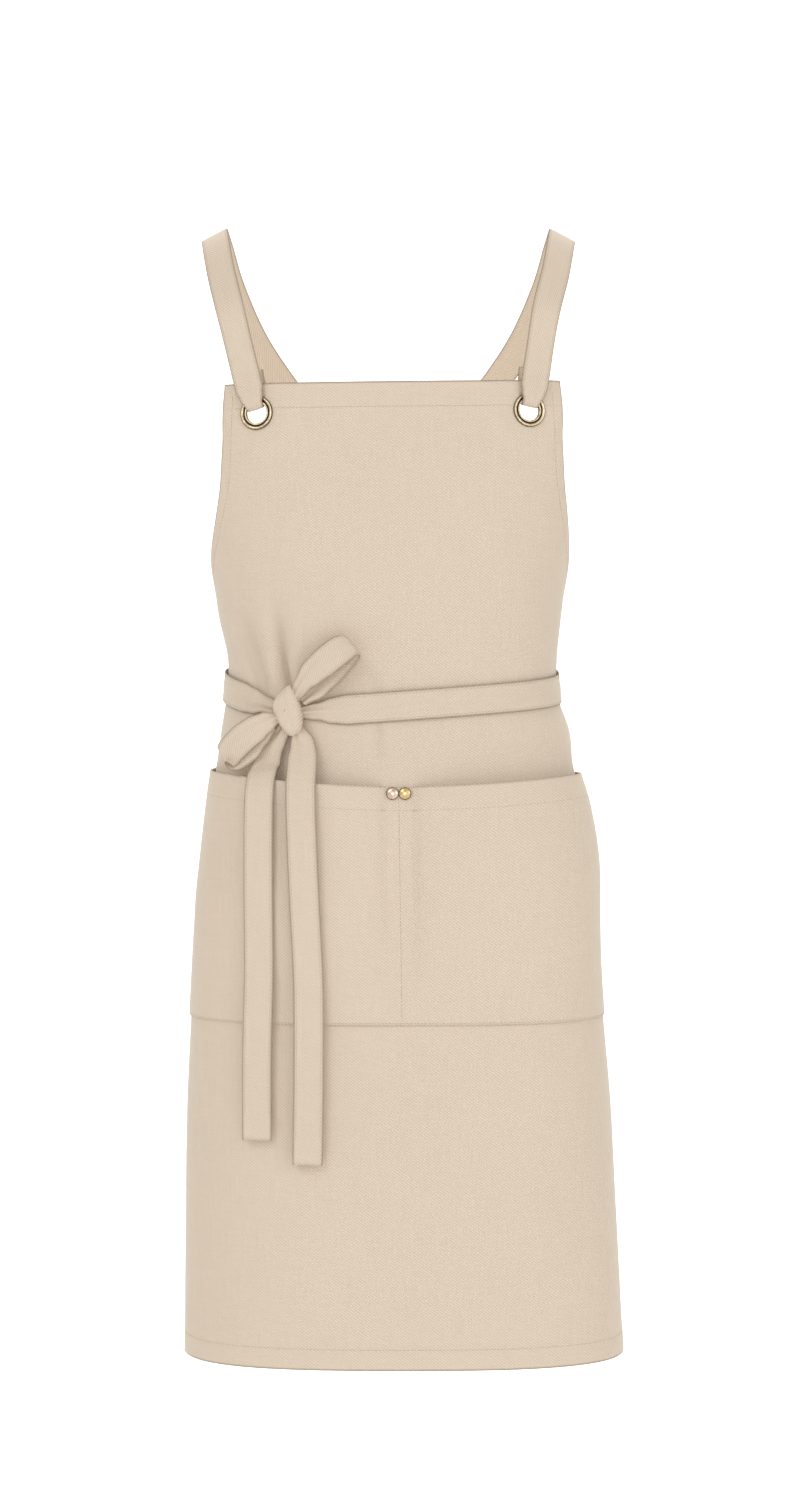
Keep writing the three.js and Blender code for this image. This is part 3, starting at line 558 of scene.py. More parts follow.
# %% The shader helpers
class Wire:
    """A socket that takes part in sums: each sign adds a Math node."""

    def __init__(self, finish, socket):
        self.finish = finish
        self.socket = socket

    def math(self, operation, *values):
        return self.finish.node("ShaderNodeMath", {"operation": operation}, values)

    def __add__(self, other):
        return self.math("ADD", self, other)

    def __sub__(self, other):
        return self.math("SUBTRACT", self, other)

    def __rsub__(self, other):
        return self.math("SUBTRACT", other, self)

    def __mul__(self, other):
        return self.math("MULTIPLY", self, other)

    def __pow__(self, other):
        return self.math("POWER", self, other)

    def wave(self):
        """A sine wave between 0 and 1 that repeats with each whole number."""
        return self.math("SINE", self * (2 * math.pi)) * 0.5 + 0.5

    __radd__ = __add__
    __rmul__ = __mul__


class Finish:
    """A material under construction."""

    def __init__(self, name):
        self.material = bpy.data.materials.new(name)
        self.material.use_nodes = True
        self.tree = self.material.node_tree
        self.shader = self.tree.nodes["Principled BSDF"]

    def node(self, kind, settings, inputs, output=0):
        """Adds a node: its settings first, then the values or wires of its sockets."""
        made = self.tree.nodes.new(kind)
        for key, value in settings.items():
            if key == "stops":
                for place, (at, colour) in enumerate(value):
                    stops = made.color_ramp.elements
                    stop = stops[place] if place < len(stops) else stops.new(at)
                    stop.position = at
                    stop.color = colour
            else:
                setattr(made, key, value)
        pairs = inputs.items() if isinstance(inputs, dict) else enumerate(inputs)
        for key, value in pairs:
            if isinstance(value, Wire):
                self.tree.links.new(value.socket, made.inputs[key])
            elif value is not None:
                made.inputs[key].default_value = value
        return Wire(self, made.outputs[output])

    def feed(self, **sockets):
        """Sets or links the shader's own sockets, with _ for each space in a name."""
        for key, value in sockets.items():
            socket = self.shader.inputs[key.replace("_", " ")]
            if isinstance(value, Wire):
                self.tree.links.new(value.socket, socket)
            else:
                socket.default_value = value
        return self.material

    def blend(self, share, one, other):
        """A mix of two colours."""
        settings = {"data_type": "RGBA"}
        return self.node("ShaderNodeMix", settings, {0: share, 6: one, 7: other}, 2)

    def weave_axes(self):
        """The two directions of the flat cloth, in metres."""
        place = self.node("ShaderNodeAttribute", {"attribute_name": "weave"}, {}, "Vector")
        u = self.node("ShaderNodeSeparateXYZ", {}, {0: place}, 0)
        v = self.node("ShaderNodeSeparateXYZ", {}, {0: place}, 1)
        return place, u, v

    def noise(self, place, scale, detail=2.0, roughness=0.5):
        """Cloudy noise between 0 and 1."""
        inputs = {"Vector": place, "Scale": scale, "Detail": detail, "Roughness": roughness}
        return self.node("ShaderNodeTexNoise", {}, inputs, 0)


# %% [markdown]
# ## The twill
# Twill shows slanted ribs, because each thread passes over two or more others and the
# next row starts one thread along. The ribs are a sine wave across a slanted line, cut
# into grains by the crossing threads. Yarn is never even, so slow noise along both
# threads tints it, and a cloudy noise shades the whole piece.

# %% The twill finish
RIB_PITCH = 2.05 * MM
GRAIN_PITCH = 0.8 * MM
# The brown that painted shade darkens the cloth towards.
SHADE_BROWN = (0.21, 0.145, 0.095, 1.0)


def twill(name, colour, turned=False):
    """Cotton twill of a colour: ribs, grains, uneven yarn and a soft sheen."""
    finish = Finish(name)
    place, u, v = finish.weave_axes()
    if turned:
        u, v = v, u
    wobble = finish.noise(place, 900.0, 1.0)
    rib = ((v - u * 0.72) * (0.81 / RIB_PITCH) + wobble * 0.25).wave()
    grain = ((v + u * 1.2) * (0.64 / GRAIN_PITCH) + wobble * 0.3).wave()
    height = rib * 0.7 + grain * rib * 0.3
    yarn_down, yarn_across = (finish.noise(
        finish.node("ShaderNodeVectorMath", {"operation": "MULTIPLY"}, {0: place, 1: stretch}),
        1.0, 2.0) for stretch in ((900.0, 25.0, 0.0), (25.0, 900.0, 0.0)))
    cloud = finish.noise(place, 9.0, 4.0, 0.6)
    light = tuple(min(c * 1.1, 1.0) for c in colour) + (1.0,)
    dark = tuple(c * 0.78 for c in colour) + (1.0,)
    shade = height * 0.56 + yarn_down * 0.3 + yarn_across * 0.2 + cloud * 0.12 - 0.06
    bump = finish.node("ShaderNodeBump", {}, {
        "Strength": 0.75, "Distance": 0.22 * MM,
        "Height": height + yarn_down * 0.5 + yarn_across * 0.4})
    # The painted shade darkens the colour towards brown along edges and in creases.
    painted_shade = finish.node("ShaderNodeAttribute", {"attribute_name": "painted_shade"}, {}, "Fac")
    return finish.feed(
        Base_Color=finish.blend(painted_shade * 0.8, finish.blend(shade, dark, light), SHADE_BROWN),
        Roughness=0.96 - height * 0.12,
        Normal=bump,
        Sheen_Weight=0.18,
        Sheen_Roughness=0.4,
        Specular_IOR_Level=0.2,
    )


SAND = (0.764, 0.640, 0.505)
cloth_finish = twill("sand_twill", SAND)
strap_finish = twill("strap_twill", tuple(c * 0.99 for c in SAND), turned=True)

body = make_body(cloth_finish)
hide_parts("apron_body")


# %% [markdown]
# ## The pocket
# One wide patch, sewn down at both sides, along the bottom and down the middle. Filled
# and emptied often, it no longer lies flat: each half stands off a little, and its mouth
# gapes. The standoff is the model's, so the pocket stays clear of the body.

# %% The pocket
POCKET_HEM = 22 * MM
POCKET_TURN = 8 * MM
POCKET_SPACING = 4.4 * MM
MIDDLE_LINES = np.array([0, 0.5, 1.0, 1.7]) * MM
MIDDLE_GROOVE = 0.16 * MM
SEWN_GAP = SEAT + 0.2 * MM
POCKET_MIDDLE = BODY_CLOTH / 2 + SEWN_GAP + POCKET_CLOTH / 2


def pocket_standoff(across, down):
    """How far the pocket stands off: a round hump in each half, closed at the bottom."""
    span = POCKET_HALF - SIDE_SEAM - SEAM_HALF
    share = np.clip((np.abs(across) - SEAM_HALF) / span, 0, 1)
    height = np.clip(1 - (down * APRON_LENGTH - POCKET_DROP) / POCKET_DEPTH, 0, 1)
    sideways = 3 * share ** 0.6 * (1 - share) ** 1.1
    upwards = ease(height * 1.7) * mix(1, 0.92, height)
    return POCKET_BULGE * sideways * upwards


def pocket_place(across, down, offset):
    """A point of the pocket, standing off its own middle surface."""
    reach = POCKET_MIDDLE + pocket_standoff(across, down) + offset
    return cloth_point(across, down) + cloth_facing(across, down) * reach[..., None]


def make_pocket(finish):
    """The patch with its turned edges, its top hem and the groove of its middle seam."""
    rows = lines_between(POCKET_DROP, POCKET_DROP + POCKET_DEPTH, POCKET_HEM, POCKET_TURN,
                         POCKET_SPACING) / APRON_LENGTH
    side = lines_between(0, POCKET_HALF, 5 * MM, POCKET_TURN, POCKET_SPACING)[5:]
    side = np.concatenate([MIDDLE_LINES, side[side > 2.2 * MM]])
    cols = np.concatenate([-side[:0:-1], side])
    across, down = np.meshgrid(cols, rows)
    edge = POCKET_HALF - np.abs(across)
    from_top = down * APRON_LENGTH - POCKET_DROP
    outer_off, inner_off = merged([
        hem_profile(edge, POCKET_TURN, POCKET_CLOTH, 0.25),
        hem_profile(from_top, POCKET_HEM, POCKET_CLOTH, 0.5),
        hem_profile(POCKET_DEPTH - from_top, POCKET_TURN, POCKET_CLOTH, 0.25)])
    seam = np.exp(-(across / (0.9 * MM)) ** 2)
    outer_off = outer_off - MIDDLE_GROOVE * seam
    inner_off = np.minimum(inner_off, POCKET_CLOTH / 2 + 0.35 * MM)
    sides = (pocket_place(across, down, outer_off), pocket_place(across, down, -inner_off))
    # A faint painted shade along the pocket's edges.
    painted_shade = 0.3 * edge_shade(np.minimum(edge, np.minimum(from_top, POCKET_DEPTH - from_top)))
    return add_sheet("patch_pocket", sides, across, down, (0.3, 0.4, 0), finish, painted_shade)


pocket = make_pocket(cloth_finish)
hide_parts("front_pocket")

# %% [markdown]
# ## Ribbons
# A strap is a strip of cloth folded on itself and stitched along both edges. Its section
# is a flat oval that sinks along the stitches, carried along a smooth route. Where it is
# squeezed into an eyelet or the knot, it keeps its cloth and gathers into pleats.

# %% Routes and ribbons
def smooth_route(values, count, lengths_from=None):
    """Points on a centripetal Catmull-Rom curve through chosen ones, evenly by number."""
    values = np.array(values, float)
    guide = values if lengths_from is None else np.array(lengths_from, float)

    def padded(rows):
        return np.vstack([2 * rows[0] - rows[1], rows, 2 * rows[-1] - rows[-2]])

    rows, places = padded(values), padded(guide)
    t = np.linspace(0, len(values) - 1, count + 1)
    i = np.minimum(t.astype(int), len(values) - 2)
    t = (t - i)[:, None]
    gaps = np.linalg.norm(np.diff(places, axis=0), axis=1) ** 0.5
    gaps = np.where(gaps < 1e-6, 1, gaps)
    g0, g1, g2 = (gaps[i + k][:, None] for k in range(3))
    p0, p1, p2, p3 = (rows[i + k] for k in range(4))
    m1 = ((p1 - p0) / g0 - (p2 - p0) / (g0 + g1) + (p2 - p1) / g1) * g1
    m2 = ((p2 - p1) / g1 - (p3 - p1) / (g1 + g2) + (p3 - p2) / g2) * g1
    return ((2 * t**3 - 3 * t**2 + 1) * p1 + (t**3 - 2 * t**2 + t) * m1
            + (-2 * t**3 + 3 * t**2) * p2 + (t**3 - t**2) * m2)


def smooth_sizes(values, count):
    """Numbers that ease from each chosen one to the next, evenly by number."""
    values = np.array(values, float)
    t = np.linspace(0, len(values) - 1, count + 1)
    i = np.minimum(t.astype(int), len(values) - 2)
    return mix(values[i], values[i + 1], ease(t - i))


def route(stations, count):
    """A dictionary of the route's points, facings, widths and thicknesses."""
    return {
        "at": smooth_route([s["at"] for s in stations], count),
        "face": unit(smooth_route([s["face"] for s in stations], count)),
        "width": smooth_sizes([s.get("width", STRAP_WIDTH) for s in stations], count),
        "thick": smooth_sizes([s.get("thick", STRAP_THICK) for s in stations], count),
    }


def route_frame(way):
    """The route's own directions: across its width, and out of its face."""
    tangent = np.empty_like(way["at"])
    tangent[1:-1] = way["at"][2:] - way["at"][:-2]
    tangent[0] = way["at"][1] - way["at"][0]
    tangent[-1] = way["at"][-1] - way["at"][-2]
    tangent = unit(tangent)
    face = way["face"] - tangent * np.sum(way["face"] * tangent, axis=1, keepdims=True)
    face = unit(face)
    return np.cross(face, tangent), face


def distance_along(path):
    """The length walked along a path, at each of its points."""
    return np.concatenate([[0], np.cumsum(np.linalg.norm(np.diff(path, axis=0), axis=1))])


HALF_SECTION = 21
SECTION = np.linspace(-1, 1, HALF_SECTION)
KNOT_RIPPLE = 2.2 * MM
EYELET_RIPPLE = 0.3 * MM


def section_height(v, thick):
    """Half the thickness at a share v of the half width: round edges, sunk stitches."""
    rounding = np.sqrt(np.clip(1 - np.abs(v) ** 12, 0.0, 1))
    groove = np.exp(-((np.abs(v) - 0.8) / 0.07) ** 2)
    return thick / 2 * rounding * (1 - 0.28 * groove)


def gathering(way):
    """How far the width has shrunk along a route, between 0 and 1."""
    return np.clip(1.08 - way["width"] / STRAP_WIDTH, 0, 1)


def pleat(v, gathered, ripple):
    """The middle line of a squeezed section: a ripple that grows as the width shrinks."""
    return ripple * gathered * np.cos(2.0 * np.pi * v)


def ribbon(name, node, stations, count, finish, cut_start, ripple=KNOT_RIPPLE):
    """A flat oval section carried along a route, with closed ends, in place of a node.

    It gives the piece, its route and its length."""
    way = route(stations, count)
    wide, face = route_frame(way)
    edge_lines = np.sin(SECTION * np.pi / 2) * 0.5 + SECTION * 0.5
    middle = pleat(edge_lines[None, :], gathering(way)[:, None], ripple)
    middle = middle * ease((1 - np.abs(edge_lines[None, :])) * 4 + 0.3)
    height = section_height(edge_lines[None, :], way["thick"][:, None])
    half = way["width"][:, None] / 2
    spine = way["at"][:, None, :] + wide[:, None, :] * (half * edge_lines)[..., None]
    outer = spine + face[:, None, :] * (middle + height)[..., None]
    inner = spine + face[:, None, :] * (middle - height)[..., None]
    ring = np.concatenate([outer, inner[:, ::-1, :]], axis=1)
    rows, cols = ring.shape[:2]
    walked = distance_along(way["at"])
    u = np.concatenate([edge_lines, edge_lines[::-1] + 2.4]) * STRAP_WIDTH / 2
    weave = np.stack(np.broadcast_arrays(
        u[None, :] + cut_start, walked[:, None] + cut_start, 0.0), axis=-1)
    sides = grid_quads(rows, cols, closed_cols=True).reshape(-1, 4)[:, ::-1]
    k = np.arange(HALF_SECTION - 1)
    cap = np.stack([k, k + 1, cols - 2 - k, cols - 1 - k], axis=-1)
    faces = np.concatenate([sides, cap, cap[:, ::-1] + (rows - 1) * cols])
    # Painted shade along the ribbon's edges.
    painted_shade = 0.8 * edge_shade((1 - np.abs(edge_lines))[None, :] * half)
    piece = add_piece(name, ring, faces, weave, finish,
                      np.concatenate([painted_shade, painted_shade[:, ::-1]], axis=1))
    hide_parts(node)
    return piece, way, float(walked[-1])


# %% [markdown]
# ## The shoulder straps
# Each strap starts behind the bib, where it is sewn to itself, comes forward through the
# eyelet from behind, and goes up in front. It then lies over the shoulder and crosses
# the other behind the back. The pieces of the route are chosen points, as in the model.

# %% The straps
HAIRPIN_REACH = EYELET_SKIN + EYELET_HEIGHT + SEAT + STRAP_THICK / 2 + TURN_ROOM
PASS_WIDTH = 15 * MM
PASS_THICK = 2.6 * MM
PASS_UP = 4 * MM
# Behind or in front (-1 to 1), the height over the eyelet, the share of the width, thickness.
HAIRPIN = [
    (-1, EYELET_DROP + 11 * MM, 1, STRAP_THICK),
    (-1, EYELET_DROP * 0.85, 0.94, STRAP_THICK),
    (-1, EYELET_RIM * 0.92, 0.7, STRAP_THICK),
    (-0.72, EYELET_HOLE * 0.8, PASS_WIDTH / STRAP_WIDTH, PASS_THICK),
    (0, PASS_UP, PASS_WIDTH / STRAP_WIDTH, PASS_THICK),
    (0.72, EYELET_HOLE * 0.8, 0.64, PASS_THICK),
    (1, EYELET_RIM * 0.92, 0.83, STRAP_THICK),
    (1, EYELET_DROP * 0.85, 0.98, STRAP_THICK),
    (1, EYELET_DROP + 11 * MM, 1, STRAP_THICK),
]
# Shares of the spread sideways, of the depth backwards, and of the way down to the waist.
OVER_SHOULDER = [
    (0.885, -0.86, 0.185), (0.942, -0.66, 0.1), (0.985, -0.34, 0.022), (1.0, 0.0, 0.0),
    (0.98, 0.38, 0.028), (0.92, 0.74, 0.11), (0.78, 0.93, 0.23), (0.53, 1.0, 0.37),
    (0.27, 1.01, 0.5), (0.01, 0.98, 0.62), (-0.2, 0.9, 0.735), (-0.37, 0.79, 0.86),
]
CROSS_GAP = STRAP_THICK + 2.4 * MM
SIDE_PASS_REACH = EYELET_SKIN + EYELET_HEIGHT + SEAT + PASS_THICK / 2 + TURN_ROOM
# Ahead and out in shares of the hole and the reach, the rise, the share of the width, thickness.
SIDE_PASS = [
    (-1.9, -1.1, 1.6, 0.7, STRAP_THICK), (-1.25, -1, 0.55, 0.423, PASS_THICK),
    (-0.62, -0.62, 0.1, 0.389, PASS_THICK), (0.0, 0, 0, 0.389, PASS_THICK),
    (0.62, 0.62, 0, 0.389, PASS_THICK), (1.25, 1, 0, 0.423, PASS_THICK),
    (2.4, 1, 0, 0.8, STRAP_THICK),
]
UP = np.array([0.0, 0.0, 1.0])
STRAP_LEAN = {"left": 0.3, "right": 0.2}


def body_facing(point):
    """Away from an ellipsoid that stands for shoulders and back, upright below it."""
    breadth, depth, height, middle = 214 * MM, 115 * MM, 150 * MM, -143 * MM
    x, y, z = point
    return unit(np.array([x / breadth**2, y / depth**2, max(z - middle, 0) / height**2]))


def side_pass(name, rows):
    """Stations through a side eyelet, from the cloth's inside to its outside."""
    centre, facing = EYELET_SEATS[name]
    side = np.sign(EYELETS[name][0])
    ahead = unit(np.cross(UP, facing)) * -side
    return [{
        "at": centre + ahead * a * EYELET_HOLE + facing * out * SIDE_PASS_REACH
        + UP * rise * EYELET_HOLE,
        "face": facing, "width": wide * STRAP_WIDTH, "thick": thick,
    } for a, out, rise, wide, thick in rows]


def strap_stations(side):
    """The strap's route, from its sewn end behind the bib to the far side eyelet."""
    centre, facing = EYELET_SEATS["bib_left" if side < 0 else "bib_right"]
    up = unit(UP - facing * facing[2])
    lean = STRAP_LEAN["left" if side < 0 else "right"]
    up = unit(up + unit(np.cross(UP, facing)) * side * lean)
    stations = [{
        "at": centre + up * rise + facing * out * HAIRPIN_REACH,
        "face": facing * out - up * (1 - abs(out)),
        "width": wide * STRAP_WIDTH, "thick": thick,
    } for out, rise, wide, thick in HAIRPIN]
    total = BIB_DROP + TIE_SIDE_DROP
    lift = CROSS_GAP / 2 * (1 if side < 0 else -1)
    for across, deep, down in OVER_SHOULDER:
        at = np.array([
            side * across * SHOULDER_SPREAD,
            deep * SHOULDER_DEPTH + lift * float(ease((deep - 0.8) / 0.15)),
            -down * total])
        stations.append({"at": at, "face": body_facing(at)})
    far = "side_right" if side < 0 else "side_left"
    return stations + side_pass(far, SIDE_PASS[:3])


straps = [ribbon(f"strap_{word}", f"shoulder_strap_{word}", strap_stations(side), 300,
                 strap_finish, 0.2, EYELET_RIPPLE) for side, word in SIDES]

# %% [markdown]
# ## The waist tie
# The straps go on round the waist as the tie. It lies on the cloth and narrows into the
# knot, where its pleats show.

# %% The waist tie
def tie_place(across, out):
    """A station on the outside of the cloth, at the tie's own height."""
    left = across < -KNOT_ACROSS
    reach = POCKET_HALF + (-KNOT_ACROSS if left else KNOT_ACROSS)
    share = np.clip(1 - np.abs(across + KNOT_ACROSS) / reach, 0, 1) ** (2 if left else 1)
    drop = mix(TIE_SIDE_DROP, TIE_DROP, share)
    down = (drop + lift_at(np.array(across), np.array(TIE_DROP / APRON_LENGTH))) / APRON_LENGTH
    face = cloth_facing(across, down)
    return cloth_point(across, down) + face * out, face


TIE_GATHER = 38 * MM
TIE_NARROW = 0.42
TIE_TUCK = 0.36
TIE_STEP = 13 * MM


def tie_stations(side):
    """From the side eyelet round the waist to the knot, settling onto the cloth."""
    stations = side_pass("side_left" if side < 0 else "side_right", SIDE_PASS[4:])
    start = side * (SIDE_EYELET_ACROSS - EYELET_HOLE * 4.2)
    stop = -KNOT_ACROSS + side * KNOT_WIDTH * TIE_TUCK
    count = round(abs(start - stop) / TIE_STEP)
    for i in range(count + 1):
        across = mix(start, stop, i / count)
        settling = (SIDE_PASS_REACH - TIE_STANDOFF) * float(ease(1 - i / 4))
        at, face = tie_place(across, TIE_STANDOFF + settling)
        width = STRAP_WIDTH * mix(TIE_NARROW, 1, float(ease(abs(across - stop) / TIE_GATHER)))
        stations.append({"at": at, "face": face, "width": width})
    return stations


ties = [ribbon(f"tie_{word}", f"waist_tie_{word}", tie_stations(side), 170, strap_finish, 0.5)
        for side, word in SIDES]

# %% [markdown]
# ## The bow
# Knot, two loops and two hanging ends. The knot is the strap wrapped once round the rest:
# plump, taller than wide, slanted, and drawn in where it turns under. The loops are ribbons
# that leave the knot, turn, and come back nearer the cloth.

# %% The knot
KNOT_OUT = BODY_CLOTH / 2 + SEAT + KNOT_THICK / 2 + KNOT_GAP
KNOT_SEAT = smooth_cloth(np.array(-KNOT_ACROSS), np.array(KNOT_DROP / APRON_LENGTH))
KNOT_FACE = facing_of(smooth_cloth, np.array(-KNOT_ACROSS), np.array(KNOT_DROP / APRON_LENGTH))
KNOT_SIDE = unit(np.array([-KNOT_FACE[1], KNOT_FACE[0], 0]))


def knot_place(right, up, out):
    """Points by the knot: to the viewer's right, up, and out from the cloth."""
    right, up, out = np.broadcast_arrays(right, up, out)
    flat = KNOT_SEAT + KNOT_FACE * out[..., None] + KNOT_SIDE * right[..., None]
    flat[..., 2] = up - BIB_DROP - KNOT_DROP
    return flat


# Round the knot, from its top: shares of half its width and half its height.
KNOT_OUTLINE = [
    (0.19, 1.0), (0.48, 0.79), (0.84, 0.2), (1.0, -0.42), (0.9, -0.74), (0.52, -0.97),
    (0.15, -1.0), (-0.4, -0.67), (-0.71, -0.31), (-0.96, 0.04), (-0.97, 0.27), (-0.71, 0.56),
    (-0.19, 0.87),
]
# From the cloth outwards: the share of half its thickness, and of the outline left there.
KNOT_SWELL = [(-1, 0.02), (-0.88, 0.6), (-0.5, 0.9), (0, 1), (0.5, 0.95), (0.85, 0.74), (0.97, 0.4),
              (1, 0.02)]


def make_knot(finish):
    """A plump wrap: a smooth closed outline, drawn in by its swell at each depth.

    The outline is a closed Catmull-Rom curve through its chosen points, and faint creases
    cross it, each a bell curve of the distance from a slanted line."""
    closed = np.array(KNOT_OUTLINE[-2:] + KNOT_OUTLINE + KNOT_OUTLINE[:3])
    steps = 10
    around = smooth_route(closed, steps * (len(closed) - 1))[2 * steps:-2 * steps - 1]
    swell = smooth_route(KNOT_SWELL, 48)
    right = around[None, :, 0] * swell[:, None, 1]
    up = around[None, :, 1] * swell[:, None, 1]
    front = ease(swell[:, None, 0] * 1.5)
    creases = (np.exp(-((right * 0.9 + up * 0.45 - 0.12) / 0.13) ** 2)
               + 0.7 * np.exp(-((right * 0.8 - up * 0.3 + 0.5) / 0.1) ** 2))
    deep = swell[:, None, 0] - 0.05 * creases * front
    points = knot_place(right * KNOT_WIDTH / 2, up * KNOT_HEIGHT / 2,
                        KNOT_OUT + deep * KNOT_THICK / 2)
    rows, cols = points.shape[:2]
    sides = grid_quads(rows, cols, closed_cols=True).reshape(-1, 4)[:, ::-1].tolist()
    near = list(range(cols))
    far = [(rows - 1) * cols + k for k in range(cols)][::-1]
    flat = np.stack(np.broadcast_arrays(
        right * KNOT_WIDTH / 2, up * KNOT_HEIGHT / 2, 0.0), axis=-1)
    return add_piece("knot_wrap", points, sides + [near, far], flat, finish)


knot = make_knot(strap_finish)
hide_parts("bow_knot")

# %% The loops
# To the right and up, in shares of the spread, outwards, and the share of the width.
UPPER_LOOP = [
    (0.11, 0.17, 0.1, 0.4), (0.26, 0.38, 0.62, 0.65), (0.42, 0.55, 0.8, 0.9), (0.63, 0.72, 0.85, 1),
    (0.84, 0.88, 0.55, 1), (0.965, 0.93, 0.0, 0.98), (0.88, 0.84, -0.33, 1),
    (0.66, 0.61, -0.5, 1), (0.42, 0.35, -0.42, 0.86), (0.2, 0.13, -0.3, 0.42),
]
LOWER_LOOP = [
    (-0.16, -0.11, 0.3, 0.42), (-0.3, -0.18, 0.8, 0.75), (-0.46, -0.28, 1.02, 0.95),
    (-0.64, -0.41, 1.1, 1), (-0.83, -0.59, 0.9, 1), (-0.92, -0.7, 0.6, 1),
    (-0.83, -0.69, 0.5, 1), (-0.6, -0.54, 0.45, 1), (-0.42, -0.38, 0.2, 0.75),
    (-0.22, -0.22, 0.1, 0.4),
]


def loop_stations(rows):
    """The loop's chosen points, with a facing that turns over round its end."""
    last = len(rows) - 1
    stations = []
    for i, (right, up, out, wide) in enumerate(rows):
        turn = math.pi * float(np.clip((i - 3) / (last - 5), 0, 1))
        endwards = np.array([np.sign(right) * 0.75, 0, np.sign(up) * 0.6])
        stations.append({
            "at": knot_place(right * LOOP_SPREAD, up * LOOP_SPREAD, KNOT_OUT + out * LOOP_DEPTH),
            "face": KNOT_FACE * math.cos(turn) + endwards * math.sin(turn),
            "width": wide * STRAP_WIDTH,
        })
    return stations


loops = [ribbon(f"loop_{word}", f"bow_loop_{word}", loop_stations(rows), 150, strap_finish, 0.7)
         for word, rows in (("upper", UPPER_LOOP), ("lower", LOWER_LOOP))]

# %% The hanging ends
# Widths sideways from the knot, the share of the way down, of the width, and of nearness.
LEFT_TAIL = [
    (-0.1, 0.035, 0.42, 1), (-0.2, 0.0575, 0.5, 1), (-0.55, 0.095, 0.8, 0.97), (-0.8, 0.14, 1, 0.98),
    (-0.82, 0.17, 1, 0.36), (-0.82, 0.21, 1, 0), (-0.9, 0.4, 1, 0), (-1.04, 0.6, 1, 0),
    (-1.21, 0.8, 1, 0), (-1.25, 1, 1, 0),
]
RIGHT_TAIL = [
    (0.15, 0.03, 0.4, 1), (0.26, 0.0525, 0.5, 1), (0.42, 0.085, 0.85, 0.9), (0.45, 0.12, 1, 0.6),
    (0.44, 0.17, 1, 0.2), (0.45, 0.22, 1, 0), (0.5, 0.4, 1, 0), (0.53, 0.6, 1, 0),
    (0.48, 0.8, 1, 0), (0.4, 1, 1, 0),
]


def tail_stations(rows, end_drop):
    """Down from the knot, out over the pocket's mouth, and straight down in front."""
    stations = []
    for sideways, down, wide, near in rows:
        share = mix(KNOT_DROP, end_drop, down) / APRON_LENGTH
        across = -KNOT_ACROSS + sideways * STRAP_WIDTH
        face = facing_of(smooth_cloth, np.array(across), np.array(share))
        bulge = float(pocket_standoff(across, max(share, POCKET_TOP)))
        hung = POCKET_MIDDLE + POCKET_CLOTH / 2 + bulge + TAIL_CLEARANCE + STRAP_THICK / 2
        out = mix(hung, KNOT_OUT * TAIL_TUCK, near)
        at = smooth_cloth(np.array(across), np.array(share)) + face * out
        face = unit(mix(face, np.array([0, -1.0, 0]), 0.4 * (1 - near)))
        stations.append({"at": at, "face": face, "width": wide * STRAP_WIDTH})
    return stations


tails = [ribbon(f"tail_{word}", f"tie_tail_{word}", tail_stations(rows, drop), 190, strap_finish, 0.1)
         for word, rows, drop in (("left", LEFT_TAIL, LEFT_TAIL_DROP),
                                  ("right", RIGHT_TAIL, RIGHT_TAIL_DROP))]

# %% [markdown]
# ## Stitches
# Thread shows as short raised dashes, each end pulled into the cloth. One small bead is
# worked out once and repeated along every seam as one array, so thousands of stitches
# are one mesh.

# %% The stitches
STITCH_PITCH = 3.1 * MM
STITCH_LENGTH = 2.3 * MM
THREAD_RADIUS = 0.26 * MM


def bead():
    """A stitch of length 1 and radius 1: rings of five points, and its faces."""
    at = np.array([-0.5, -0.36, 0.0, 0.36, 0.5])
    size = np.array([0.25, 0.9, 1.0, 0.9, 0.25])
    turn = np.linspace(0, 2 * np.pi, 6)[:-1]
    x = np.repeat(at[:, None], 5, axis=1)
    y = size[:, None] * np.cos(turn)
    z = size[:, None] * np.sin(turn)
    quads = grid_quads(5, 5, closed_cols=True).reshape(-1, 4)
    return np.stack([x, y, z], axis=-1).reshape(-1, 3), quads


def stitch_places(path, facing):
    """Walks a path and gives the middle, way and facing of each stitch on it."""
    walked = distance_along(path)
    at = np.arange(STITCH_PITCH / 2, walked[-1], STITCH_PITCH)

    def read(rows, places):
        return np.stack([np.interp(places, walked, rows[:, k]) for k in range(3)], axis=-1)

    ahead = read(path, at + 0.5 * MM) - read(path, at - 0.5 * MM)
    return read(path, at), unit(ahead), unit(read(facing, at))


def make_stitches(name, runs, finish):
    """All the stitches of some seams as one mesh: the bead turned and set at each place."""
    middle, way, normal = (np.concatenate(part) for part in zip(*runs))
    side = unit(np.cross(normal, way))
    shape, quads = bead()
    points = (middle[:, None, :]
              + way[:, None, :] * (shape[None, :, :1] * STITCH_LENGTH)
              + side[:, None, :] * (shape[None, :, 1:2] * THREAD_RADIUS)
              + normal[:, None, :] * (shape[None, :, 2:] * THREAD_RADIUS))
    count = len(shape)
    offsets = np.arange(len(middle))[:, None, None] * count
    rings = (quads[None] + offsets).reshape(-1, 4).tolist()
    ends = [[0, 1, 2, 3, 4], [24, 23, 22, 21, 20]]
    caps = (np.array(ends)[None] + offsets).reshape(-1, 5).tolist()
    weave = np.zeros((points.shape[0] * count, 3))
    piece = add_piece(name, points, rings + caps, weave, finish)
    print(name, len(middle), "stitches")
    return piece


def cotton_thread(name, colour):
    """Matt sewing cotton with a fine twist."""
    finish = Finish(name)
    place = finish.node("ShaderNodeTexCoord", {}, {}, "Object")
    twist = finish.noise(place, 1500.0, 1.0)
    dark = tuple(c * 0.8 for c in colour) + (1.0,)
    return finish.feed(
        Base_Color=finish.blend(twist, dark, colour + (1.0,)),
        Roughness=0.75 + twist * 0.1,
        Sheen_Weight=0.1,
    )


thread_finish = cotton_thread("sand_thread", (0.64, 0.51, 0.37))


